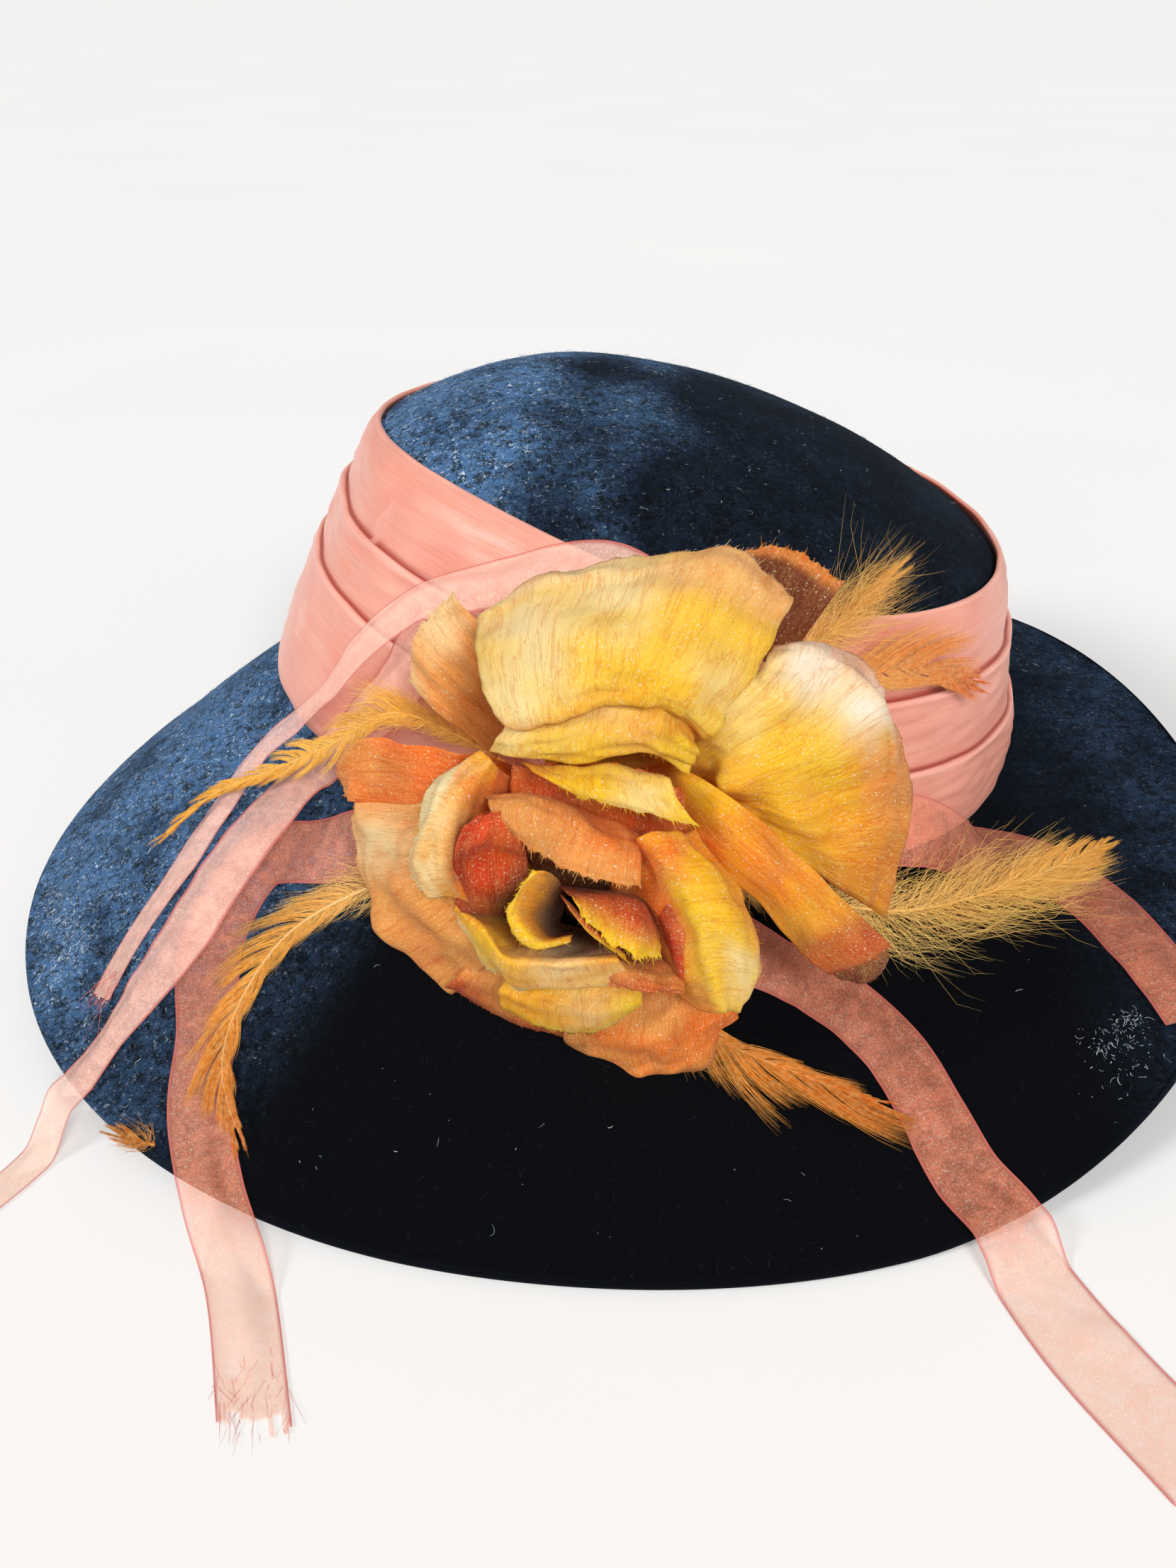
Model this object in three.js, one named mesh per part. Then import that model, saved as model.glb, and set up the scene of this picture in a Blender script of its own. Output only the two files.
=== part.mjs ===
// A wide-brimmed wool felt hat, dressed with a pleated satin band, a silk rose, dyed hackle feathers
// and organza streamers. It rests on the near and far edges of its brim, and its two ends stand a
// little higher.
//
// Units are millimetres and +Z is up. The rose faces -Y, the wearer's forehead is towards -X, and the
// hat stands on the plane Z = 0. Inside this file the crown's upright axis is the Z axis; the group is
// moved at the end so that the origin is the middle of the bottom of the bounding box.
import * as THREE from "three";

// Felt body
const HEAD_LENGTH = 203; // outside of the felt where the crown meets the brim, front to back
const HEAD_WIDTH = 171; // the same, side to side
const FELT = 2.5; // thickness of the felt
const BRIM_FRONT = 58.8; // brim from the crown to its edge, towards -X
const BRIM_BACK = 58.8; // the same, towards +X
const BRIM_ROSE_SIDE = 85; // the same, on the side of the rose
const BRIM_FAR_SIDE = 60.5; // the same, on the far side
const BRIM_DROP = 30; // how far the brim falls from the crown to the table, at the sides
const FRONT_LIFT = 6; // height of the brim's edge over the table at its front end
const BACK_LIFT = 20; // the same, at its back end
const SOLE = 4; // width of the strip of brim that lies flat on the table
const CROWN_HEIGHT = 92; // from the middle of the crown's foot to its tip
const BASE_TILT = 7.4; // degrees that the crown's foot falls towards the back
const TOP_TILT = 10.5; // degrees that the crown's upper rim falls towards the back

// Trimmings
const GAP = 0.3; // clearance between pieces that touch
const SATIN = 1.6; // thickness of one layer of the folded satin band
const SILK = 1; // thickness of a petal
const PETAL = 50; // length of a petal from its root to its rim
const ROSE_HEIGHT = 56; // height of the rose's middle over the table
const ROSE_SIDE = -11; // how far the rose's middle is from the crown's axis, along X
const ROSE_TURN = -15; // degrees that the rose looks away from -Y, towards -X
const ROSE_LIFT = 11; // degrees that the rose looks up
const PAD_RADIUS = 17; // sewn pad that holds the petals, quills and streamers
const PAD_DEPTH = 9; // at its rim
const PAD_SLOPE = 0.7; // how steeply its face rises from the rim to the middle
const ROOT_FIRST = 3.5; // distance of the innermost petals' roots from the rose's axis
const ROOT_STEP = 1.4; // from one ring of roots to the next
const RIBBON_WIDTH = 18;
const ORGANZA = 1; // thickness of a streamer
const FEATHER_WIDTH = 17;
const QUILL = 1.4; // thickness of a quill
const VANE = 1; // thickness of a feather's vane
const START_GAP = 0.82; // clearance between the pad's side and the end of a streamer or feather

// Shares that shape the trimmings
const BAND_FOOT_SHARE = 0.08; // lower edge of the satin band, as a share of the crown's height
const BAND_TOP_SHARE = 0.755; // its upper edge
const BAND_RIM_SHARE = 0.74; // where the crown turns in under that edge
const BAND_RISE_SHARE = 0.045; // how much further up the band reaches at its highest
const BAND_HIGHEST = 225; // bearing in degrees where it does
const FOLD_ROUND_SHARE = 0.02; // height of a fold's rounded lip, as a share of the band's height
const LOWER_FOLD = { front: 0.51, back: 0.35 }; // the band's lower fold, as shares of the band's height
const UPPER_FOLD = { front: 0.74, back: 0.68 }; // its upper fold
const PAD_BACK_SHARE = 0.9; // how much the rose's pad tapers towards the band
const RIM_ROUND_SHARE = 0.24; // how much shorter a petal is at its sides than in the middle
const START_WIDTH_SHARE = 0.5; // how narrow a streamer or feather is gathered at the pad
const START_DEEP_SHARE = 0.5; // how far back along the pad's side it starts
const EDGE_OVER_SHARE = 1.03; // a streamer stays level with the brim's edge as far out as this
const EDGE_DOWN_SHARE = 1.15; // and is down on the table here
const LOCK_SHARE = 0.82; // width of a feather between two locks, as a share of its width at them

// Mesh steps
const AROUND = 48; // columns round the felt and the band
const PAD_SIDES = 24;
const PETAL_ACROSS = 8;
const PETAL_ALONG = 5;
const PROFILE_STEPS = 24; // along the curve that a petal is turned from
const RIBBON_STEPS = 2; // between two rows of a streamer
const FEATHER_STEPS = 3; // between two rows of a feather

const DEG = Math.PI / 180;
const vec = (x, y, z) => new THREE.Vector3(x, y, z);
const mix = (a, b, t) => a + (b - a) * t;
const smooth = (from, to, x) => THREE.MathUtils.smoothstep(x, from, to);

// The crown, from its foot to its tip. up is a share of CROWN_HEIGHT, front and back are shares of
// half the head length, side is a share of half the head width, and tilt goes from BASE_TILT at 0 to
// TOP_TILT at 1.
const CROWN_SECTIONS = [
  { up: 0.0, front: 1.0, back: 1.0, side: 1.0, tilt: 0.0 },
  { up: 0.08, front: 0.955, back: 0.99, side: 0.975, tilt: 0.1 },
  { up: 0.3, front: 0.855, back: 0.965, side: 0.945, tilt: 0.4 },
  { up: 0.55, front: 0.75, back: 0.935, side: 0.905, tilt: 0.75 },
  { up: 0.75, front: 0.665, back: 0.895, side: 0.865, tilt: 1.0 },
  { up: 0.8, front: 0.604, back: 0.813, side: 0.797, tilt: 1.0 },
  { up: 0.85, front: 0.533, back: 0.717, side: 0.717, tilt: 1.0 },
  { up: 0.9, front: 0.447, back: 0.602, side: 0.618, tilt: 1.0 },
  { up: 0.95, front: 0.331, back: 0.446, side: 0.479, tilt: 1.0 },
  { up: 0.98, front: 0.223, back: 0.3, side: 0.343, tilt: 1.0 },
  { up: 1.0, front: 0.0, back: 0.0, side: 0.0, tilt: 1.0 },
];
// The brim, from the crown to its edge. out is a share of the brim's width and fall a share of its
// drop.
const BRIM_SECTIONS = [
  { out: 0.0, fall: 0.0 },
  { out: 0.14, fall: 0.1 },
  { out: 0.36, fall: 0.3 },
  { out: 0.62, fall: 0.57 },
  { out: 0.84, fall: 0.82 },
];
// How the brim's outline departs from an ellipse: waves round the hat, and their height as a share of
// the reach.
const BRIM_WAVES = [
  { count: 2, sine: 0.035, cosine: -0.001 },
  { count: 3, sine: -0.021, cosine: -0.011 },
  { count: 4, sine: 0.008, cosine: -0.007 },
];
const LEVEL_ARC = 0.3; // the edge lies level where the cosine of the bearing is smaller than this

// The value of a column of a table at a place between its rows, on a smooth curve through them.
function between(rows, key, column, at) {
  let i = 0;
  while (i < rows.length - 2 && at > rows[i + 1][key]) i += 1;
  const row = (k) => rows[THREE.MathUtils.clamp(k, 0, rows.length - 1)];
  const t = (at - row(i)[key]) / (row(i + 1)[key] - row(i)[key]);
  const slope = (k) => (row(k + 1)[column] - row(k - 1)[column]) / (row(k + 1)[key] - row(k - 1)[key]);
  const span = row(i + 1)[key] - row(i)[key];
  const [a, b] = [row(i)[column], row(i + 1)[column]];
  const [da, db] = [slope(i) * span, slope(i + 1) * span];
  return a + t * (da + t * (3 * (b - a) - 2 * da - db + t * (2 * (a - b) + da + db)));
}

// A point of the crown's outer face. bearing is an angle from +X towards +Y, and up a share of its
// height.
function crownPoint(bearing, up) {
  const at = (column) => between(CROWN_SECTIONS, "up", column, up);
  const [front, back] = [(at("front") * HEAD_LENGTH) / 2, (at("back") * HEAD_LENGTH) / 2];
  const x = (back - front) / 2 + ((back + front) / 2) * Math.cos(bearing);
  const y = ((at("side") * HEAD_WIDTH) / 2) * Math.sin(bearing);
  const tilt = mix(BASE_TILT, TOP_TILT, at("tilt")) * DEG;
  return vec(x, y, FELT + BRIM_DROP + up * CROWN_HEIGHT - x * Math.tan(tilt));
}

// How high the underside of the brim's edge stands over the table.
function edgeLift(bearing) {
  const lift = Math.cos(bearing) > 0 ? BACK_LIFT : FRONT_LIFT;
  return lift * smooth(LEVEL_ARC, 1, Math.abs(Math.cos(bearing)));
}

// A point of the brim's upper face. out is 0 at the crown and 1 at the edge, and past 1 the point is
// off the hat.
function brimPoint(bearing, out) {
  const foot = crownPoint(bearing, 0);
  const wave = BRIM_WAVES.reduce(
    (sum, w) => sum + w.sine * Math.sin(w.count * bearing) + w.cosine * Math.cos(w.count * bearing),
    1,
  );
  const [front, back] = [HEAD_LENGTH / 2 + BRIM_FRONT, HEAD_LENGTH / 2 + BRIM_BACK];
  const x = (back - front) / 2 + ((back + front) / 2) * Math.cos(bearing) * wave;
  const [near, far] = [HEAD_WIDTH / 2 + BRIM_ROSE_SIDE, HEAD_WIDTH / 2 + BRIM_FAR_SIDE];
  const y = (far - near) / 2 + ((far + near) / 2) * Math.sin(bearing) * wave;
  const edge = edgeLift(bearing) + FELT;
  const fall = out >= 1 ? 1 : between([...BRIM_SECTIONS, { out: 1, fall: 1 }], "out", "fall", out);
  return vec(mix(foot.x, x, out), mix(foot.y, y, out), mix(foot.z, edge, fall));
}

// A closed solid between two grids of points, front[row][column] and back[row][column], with the same
// shape. With wraps the columns close on themselves, and with tip the last row is one point.
function shell(front, back, { wraps = false, tip = false } = {}) {
  const [rows, columns] = [front.length, front[0].length];
  const positions = [];
  const index = [];
  const place = (grid) =>
    grid.map((row, i) => {
      if (tip && i === rows - 1) {
        positions.push(...row[0].toArray());
        return row.map(() => positions.length / 3 - 1);
      }
      return row.map((p) => {
        positions.push(...p.toArray());
        return positions.length / 3 - 1;
      });
    });
  const [f, b] = [place(front), place(back)];
  const triangle = (p, q, r) => {
    if (p !== q && q !== r && r !== p) index.push(p, q, r);
  };
  const quad = (p, q, r, s) => {
    triangle(p, q, r);
    triangle(p, r, s);
  };
  const next = (j) => (j + 1) % columns;
  const lastColumn = wraps ? columns : columns - 1;
  for (let i = 0; i < rows - 1; i += 1)
    for (let j = 0; j < lastColumn; j += 1) {
      quad(f[i][j], f[i][next(j)], f[i + 1][next(j)], f[i + 1][j]);
      quad(b[i][j], b[i + 1][j], b[i + 1][next(j)], b[i][next(j)]);
    }
  for (let j = 0; j < lastColumn; j += 1) {
    quad(f[0][j], b[0][j], b[0][next(j)], f[0][next(j)]);
    if (!tip) quad(f[rows - 1][j], f[rows - 1][next(j)], b[rows - 1][next(j)], b[rows - 1][j]);
  }
  if (!wraps)
    for (let i = 0; i < rows - 1; i += 1) {
      quad(f[i][0], f[i + 1][0], b[i + 1][0], b[i][0]);
      quad(f[i][columns - 1], b[i][columns - 1], b[i + 1][columns - 1], f[i + 1][columns - 1]);
    }
  const geometry = new THREE.BufferGeometry();
  geometry.setAttribute("position", new THREE.Float32BufferAttribute(positions, 3));
  geometry.setIndex(index);
  geometry.computeVertexNormals();
  return geometry;
}

// The unit normals of a grid of points.
function gridNormals(grid, wraps = false) {
  const [rows, columns] = [grid.length, grid[0].length];
  const clamp = (i, n) => THREE.MathUtils.clamp(i, 0, n - 1);
  const column = (j) => (wraps ? (j + columns) % columns : clamp(j, columns));
  return grid.map((row, i) =>
    row.map((_, j) => {
      const across = grid[i][column(j + 1)].clone().sub(grid[i][column(j - 1)]);
      const along = grid[clamp(i + 1, rows)][j].clone().sub(grid[clamp(i - 1, rows)][j]);
      return across.cross(along).normalize();
    }),
  );
}

// A sheet whose middle is a grid of points, with its thickness at each column.
function sheet(grid, thickness) {
  const normals = gridNormals(grid);
  const moved = (side) =>
    grid.map((row, i) => row.map((p, j) => p.clone().addScaledVector(normals[i][j], side * thickness(j))));
  return shell(moved(0.5), moved(-0.5));
}

// Materials
const cloth = (color, roughness) => new THREE.MeshStandardMaterial({ color, roughness, metalness: 0 });
const feltNavy = cloth(0x10141d, 0.95);
const satinPink = cloth(0xe08a7c, 0.45);
const silkYellow = cloth(0xf0b63c, 0.55);
const silkPeach = cloth(0xe6a56a, 0.55);
const silkOrange = cloth(0xd9793c, 0.55);
const silkRust = cloth(0xb5532f, 0.6);
const organzaRose = cloth(0xd98478, 0.5);
const hackleGold = cloth(0xe09a2c, 0.6);

const hat = new THREE.Group();
function add(name, geometry, material) {
  const mesh = new THREE.Mesh(geometry, material);
  mesh.name = name;
  hat.add(mesh);
  return mesh;
}

// Felt body: crown and brim are one piece of blocked felt
const bearings = Array.from({ length: AROUND }, (_, j) => (j / AROUND) * 2 * Math.PI);
const CROWN_ROWS = [0.08, 0.19, 0.3, 0.425, 0.55, 0.65, 0.75, 0.8, 0.85, 0.9, 0.95, 0.98];
function feltBody() {
  const soleShare = (bearing) => 1 - SOLE / brimPoint(bearing, 1).distanceTo(brimPoint(bearing, 0));
  const upper = [bearings.map((a) => brimPoint(a, 1)), bearings.map((a) => brimPoint(a, soleShare(a)))];
  for (const row of [...BRIM_SECTIONS].reverse()) upper.push(bearings.map((a) => brimPoint(a, row.out)));
  for (const up of CROWN_ROWS) upper.push(bearings.map((a) => crownPoint(a, up)));
  upper.push(bearings.map((a) => crownPoint(a, 1)));
  const normals = gridNormals(upper, true);
  const under = upper.map((row, i) => row.map((p, j) => p.clone().addScaledVector(normals[i][j], -FELT)));
  bearings.forEach((a, j) => {
    under[0][j] = upper[0][j].clone().setZ(edgeLift(a));
    under[1][j] = upper[1][j].clone().setZ(edgeLift(a));
  });
  under[upper.length - 1] = upper[upper.length - 1].map((p) => p.clone().add(vec(0, 0, -FELT)));
  return shell(upper, under, { wraps: true, tip: true });
}
add("felt_body", feltBody(), feltNavy);

// Satin band: one width of satin laid round the crown in three pleats, each lower one lapping over the
// one above

// A point of the crown at a share of its height, standing off the felt.
function offCrown(bearing, up, proud) {
  const step = 0.01;
  const across = crownPoint(bearing + step, up).sub(crownPoint(bearing - step, up));
  const along = crownPoint(bearing, up + step).sub(crownPoint(bearing, up - step));
  return crownPoint(bearing, up).addScaledVector(across.cross(along).normalize(), proud);
}

// The same, at a share of the band's height.
function bandTop(bearing) {
  return BAND_TOP_SHARE + BAND_RISE_SHARE * Math.max(0, Math.cos(bearing - BAND_HIGHEST * DEG)) ** 4;
}
function bandPoint(bearing, share, proud) {
  return offCrown(bearing, mix(BAND_FOOT_SHARE, bandTop(bearing), share), proud);
}

// How far the band's outer face stands off the felt, as pairs of a share of the band's height and a
// distance.
function bandProfile(bearing) {
  const foldAt = (fold) => mix(fold.back, fold.front, (1 - Math.cos(bearing)) / 2);
  const [low, high] = [foldAt(LOWER_FOLD), foldAt(UPPER_FOLD)];
  const rim = (BAND_RIM_SHARE - BAND_FOOT_SHARE) / (bandTop(bearing) - BAND_FOOT_SHARE);
  return [
    [0, GAP + 2.2 * SATIN],
    [low / 2, GAP + 3 * SATIN],
    [low - FOLD_ROUND_SHARE, GAP + 3 * SATIN],
    [low, GAP + 2.7 * SATIN],
    [low, GAP + 2.1 * SATIN],
    [(low + high) / 2, GAP + 2.2 * SATIN],
    [high - FOLD_ROUND_SHARE, GAP + 2.1 * SATIN],
    [high, GAP + 1.8 * SATIN],
    [high, GAP + 1.15 * SATIN],
    [rim, GAP + 1.05 * SATIN],
    [1, GAP + SATIN],
  ];
}

function satinBand() {
  const rows = CROWN_ROWS.filter((up) => up >= BAND_FOOT_SHARE && up < BAND_TOP_SHARE).reverse();
  const rings = bearings.map((a) => [
    ...bandProfile(a).map(([share, proud]) => bandPoint(a, share, proud)),
    bandPoint(a, 1, GAP),
    ...rows.map((up) => offCrown(a, up, GAP)),
  ]);
  const [columns, points] = [rings.length, rings[0].length];
  const index = [];
  for (let j = 0; j < columns; j += 1)
    for (let k = 0; k < points; k += 1) {
      const [a, b] = [j * points + k, ((j + 1) % columns) * points + k];
      const [c, d] = [j * points + ((k + 1) % points), ((j + 1) % columns) * points + ((k + 1) % points)];
      index.push(a, b, d, a, d, c);
    }
  const geometry = new THREE.BufferGeometry();
  const positions = rings.flatMap((ring) => ring.flatMap((p) => p.toArray()));
  geometry.setAttribute("position", new THREE.Float32BufferAttribute(positions, 3));
  geometry.setIndex(index);
  geometry.computeVertexNormals();
  return geometry;
}
add("satin_band", satinBand(), satinPink);

// Rose: its own frame has the axis out of the flower, and right and up across it
const roseAxis = vec(
  Math.sin(ROSE_TURN * DEG) * Math.cos(ROSE_LIFT * DEG),
  -Math.cos(ROSE_TURN * DEG) * Math.cos(ROSE_LIFT * DEG),
  Math.sin(ROSE_LIFT * DEG),
);
const roseUp = vec(0, 0, 1).addScaledVector(roseAxis, -roseAxis.z).normalize();
const roseRight = roseUp.clone().cross(roseAxis);

// The pad is sewn on the band at ROSE_HEIGHT, and its back follows the band.
const NEAR_SIDE = -Math.PI / 2;
const padBearing = NEAR_SIDE + Math.asin((2 * ROSE_SIDE) / HEAD_LENGTH);
const bandHeight = bandPoint(padBearing, 1, 0).distanceTo(bandPoint(padBearing, 0, 0));
const padShare = (ROSE_HEIGHT - bandPoint(padBearing, 0, 0).z) / bandHeight;
const rose = bandPoint(padBearing, padShare, GAP + 3 * SATIN + GAP);

// A point of the rose: out from its axis, round it (0 to the right, 90 degrees up), and forward of the
// band.
function rosePoint(out, around, forward) {
  return rose
    .clone()
    .addScaledVector(roseRight, out * Math.cos(around))
    .addScaledVector(roseUp, out * Math.sin(around))
    .addScaledVector(roseAxis, forward);
}

const padFace = (out) => PAD_DEPTH + PAD_SLOPE * (PAD_RADIUS - out);
function padBack(out, around) {
  const [along, up] = [Math.cos(around), Math.sin(around)].map((part) => PAD_BACK_SHARE * out * part);
  const bearing = padBearing + along / bandPoint(padBearing, padShare, 0).length();
  return bandPoint(bearing, padShare + up / bandHeight, GAP + 3 * SATIN + GAP);
}

function rosePad() {
  const rings = [1, 0.6, 0.01].map((share) => share * PAD_RADIUS);
  const angles = Array.from({ length: PAD_SIDES }, (_, k) => (k / PAD_SIDES) * 2 * Math.PI);
  const front = rings.map((out) => angles.map((a) => rosePoint(out, a, padFace(out))));
  const back = rings.map((out) => angles.map((a) => padBack(out, a)));
  return shell(front, back, { wraps: true, tip: true });
}

// The petals, from the outside in. ring counts the rings of roots from the middle. at and span are
// degrees round the rose. rise and lean are the petal's angle to the axis at its root and past its
// belly, and curl turns its rim further out. reach is its length as a share of PETAL. cup bends its
// sides in and ruffle is the height of the rim's waves, both as shares of PETAL.
const PETALS = [
  {
    name: "back_top", ring: 9, at: 53, span: 22, rise: 74,
    lean: 84, curl: 0, reach: 1.04, cup: 0, ruffle: 0.02, waves: 2, silk: silkRust,
  },
  {
    name: "back_left", ring: 9, at: 120, span: 20, rise: 74,
    lean: 84, curl: 0, reach: 0.7, cup: 0, ruffle: 0.02, waves: 2, silk: silkPeach,
  },
  {
    name: "right", ring: 8, at: 13, span: 33, rise: 58,
    lean: 74, curl: 4, reach: 0.98, cup: 0.03, ruffle: 0.03, waves: 2, silk: silkYellow,
  },
  {
    name: "left", ring: 8, at: 178, span: 34, rise: 58,
    lean: 74, curl: 4, reach: 0.82, cup: 0.02, ruffle: 0.02, waves: 2, silk: silkPeach,
  },
  {
    name: "top", ring: 7, at: 86, span: 38, rise: 56,
    lean: 74, curl: 6, reach: 0.97, cup: 0.03, ruffle: 0.035, waves: 2, silk: silkYellow,
  },
  {
    name: "low_left", ring: 7, at: 229, span: 28, rise: 46,
    lean: 58, curl: 4, reach: 0.62, cup: 0, ruffle: 0.02, waves: 2, silk: silkPeach,
  },
  {
    name: "flap", ring: 7, at: -11, span: 12, rise: 48,
    lean: 66, curl: 0, reach: 0.92, cup: 0, ruffle: 0.01, waves: 1, silk: silkOrange,
  },
  {
    name: "low", ring: 6, at: -70, span: 34, rise: 38,
    lean: 50, curl: 8, reach: 0.74, cup: 0.04, ruffle: 0.03, waves: 2, silk: silkRust,
  },
  {
    name: "lip_left", ring: 6, at: 176, span: 38, rise: 28,
    lean: 50, curl: 40, reach: 0.64, cup: 0.03, ruffle: 0.03, waves: 2, silk: silkPeach,
  },
  {
    name: "lip_top", ring: 5, at: 82, span: 48, rise: 22,
    lean: 42, curl: 50, reach: 0.7, cup: 0.02, ruffle: 0.03, waves: 2, silk: silkYellow,
  },
  {
    name: "lip_right", ring: 5, at: -16, span: 40, rise: 20,
    lean: 34, curl: 8, reach: 0.7, cup: 0.03, ruffle: 0.03, waves: 2, silk: silkYellow,
  },
  {
    name: "low_front", ring: 5, at: -107, span: 42, rise: 20,
    lean: 34, curl: 10, reach: 0.64, cup: 0.02, ruffle: 0.02, waves: 2, silk: silkYellow,
  },
  {
    name: "inner_left", ring: 4, at: 165, span: 50, rise: 8,
    lean: 20, curl: 18, reach: 0.64, cup: 0.02, ruffle: 0.01, waves: 2, silk: silkRust,
  },
  {
    name: "inner_right", ring: 4, at: -5, span: 55, rise: 10,
    lean: 22, curl: 2, reach: 0.7, cup: 0.02, ruffle: 0.01, waves: 2, silk: silkOrange,
  },
  {
    name: "inner_top", ring: 3, at: 80, span: 60, rise: 6,
    lean: 12, curl: 8, reach: 0.66, cup: 0, ruffle: 0.01, waves: 2, silk: silkOrange,
  },
  {
    name: "inner_low", ring: 3, at: 250, span: 60, rise: 6,
    lean: 10, curl: 4, reach: 0.66, cup: 0, ruffle: 0.01, waves: 2, silk: silkYellow,
  },
  {
    name: "bud_left", ring: 1.5, at: 150, span: 95, rise: 2,
    lean: 7, curl: -12, reach: 0.76, cup: 0, ruffle: 0, waves: 1, silk: silkRust,
  },
  {
    name: "bud_right", ring: 0, at: -20, span: 100, rise: 2,
    lean: 7, curl: -10, reach: 0.8, cup: 0, ruffle: 0, waves: 1, silk: silkOrange,
  },
];

// Where a petal's middle line is: out from the rose's axis, forward of the band, and its angle to the
// axis.
function petalProfile(petal, along) {
  let out = ROOT_FIRST + petal.ring * ROOT_STEP;
  let forward = padFace(out) + GAP * Math.hypot(1, PAD_SLOPE);
  forward += (SILK / 2) * Math.abs(PAD_SLOPE * Math.cos(petal.rise * DEG) - Math.sin(petal.rise * DEG));
  let angle = petal.rise * DEG;
  const step = (petal.reach * PETAL) / PROFILE_STEPS;
  for (let k = 0; k < Math.round(along * PROFILE_STEPS); k += 1) {
    const t = (k + 0.5) / PROFILE_STEPS;
    angle = (mix(petal.rise, petal.lean, smooth(0, 0.6, t)) + petal.curl * smooth(0.6, 1, t)) * DEG;
    out += Math.sin(angle) * step;
    forward += Math.cos(angle) * step;
  }
  return { out, forward, angle };
}

function petalPoint(petal, side, along) {
  const reached = along * (1 - RIM_ROUND_SHARE * Math.abs(side) ** 3);
  const { out, forward, angle } = petalProfile(petal, reached);
  const wave = petal.ruffle * Math.sin(side * petal.waves * Math.PI + petal.ring) * along ** 2;
  const offset = PETAL * (petal.cup * side ** 2 * along + wave);
  const around = (petal.at + petal.span * side) * DEG;
  return rosePoint(out - Math.cos(angle) * offset, around, forward + Math.sin(angle) * offset);
}

function petalGrid(petal) {
  const grid = [];
  for (let i = 0; i <= PETAL_ALONG; i += 1) {
    const row = [];
    for (let j = 0; j <= PETAL_ACROSS; j += 1)
      row.push(petalPoint(petal, (2 * j) / PETAL_ACROSS - 1, i / PETAL_ALONG));
    grid.push(row);
  }
  return grid;
}

add("rose_pad", rosePad(), silkOrange);
for (const petal of PETALS) add(`petal_${petal.name}`, sheet(petalGrid(petal), () => SILK), petal.silk);

// The height of the brim's upper face, or of the table off its edge, under a point. Over the crown
// there is none.
function groundAt(x, y) {
  let bearing = Math.atan2(y / HEAD_WIDTH, x / HEAD_LENGTH);
  let out = 0.5;
  const step = 1e-3;
  for (let k = 0; k < 12; k += 1) {
    const p = brimPoint(bearing, out);
    const turned = brimPoint(bearing + step, out).sub(p).divideScalar(step);
    const moved = brimPoint(bearing, out + step).sub(p).divideScalar(step);
    const [dx, dy] = [x - p.x, y - p.y];
    const area = turned.x * moved.y - turned.y * moved.x;
    bearing += THREE.MathUtils.clamp((dx * moved.y - dy * moved.x) / area, -0.2, 0.2);
    out += THREE.MathUtils.clamp((turned.x * dy - turned.y * dx) / area, -0.5, 0.5);
  }
  if (out < 0) return 0;
  return mix(brimPoint(bearing, out).z, 0, smooth(EDGE_OVER_SHARE, EDGE_DOWN_SHARE, out));
}


function padStart(around) {
  const side = rosePoint(PAD_RADIUS, around, PAD_DEPTH).lerp(padBack(PAD_RADIUS, around), START_DEEP_SHARE);
  return side.add(rosePoint(START_GAP, around, 0).sub(rose));
}

// Points across a trimming that leads from the pad over the hat. from is the place on the pad's rim in
// degrees round the rose. In a row, at is the bearing, out the share of the brim, height a share of
// CROWN_HEIGHT over the table (0 lies on what is below), face how far its face is turned up in
// degrees, and width a share of full width.
function trimming({ from, rows }, fullWidth, thick, stepsPerRow) {
  const spots = rows.map((row) => brimPoint(row.at * DEG, row.out).setZ(row.height * CROWN_HEIGHT));
  spots.forEach((p, k) => {
    if (rows[k].height === 0) p.z = groundAt(p.x, p.y);
  });
  const faces = rows.map(({ at, face }) => {
    const level = Math.cos(face * DEG);
    return vec(level * Math.cos(at * DEG), level * Math.sin(at * DEG), Math.sin(face * DEG));
  });
  const widths = rows.map((row) => row.width);
  if (from !== undefined) {
    spots.unshift(padStart(from * DEG));
    faces.unshift(roseAxis.clone());
    widths.unshift(rows[0].width * START_WIDTH_SHARE);
  }
  const path = new THREE.CatmullRomCurve3(spots, false, "centripetal");
  const count = (spots.length - 1) * stepsPerRow;
  const grid = [];
  for (let i = 0; i <= count; i += 1) {
    const t = i / count;
    const k = Math.min(Math.floor(t * (spots.length - 1)), spots.length - 2);
    const part = t * (spots.length - 1) - k;
    const face = faces[k].clone().lerp(faces[k + 1], part).normalize();
    const side = path.getTangent(t).cross(face).normalize();
    const width = mix(widths[k], widths[k + 1], part) * fullWidth;
    const middle = path.getPoint(t);
    grid.push(
      [-0.5, 0, 0.5].map((share) => {
        const p = middle.clone().addScaledVector(side, share * width);
        p.z = Math.max(p.z, groundAt(p.x, p.y) + GAP + thick / 2);
        return p;
      }),
    );
  }
  return grid;
}

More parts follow.
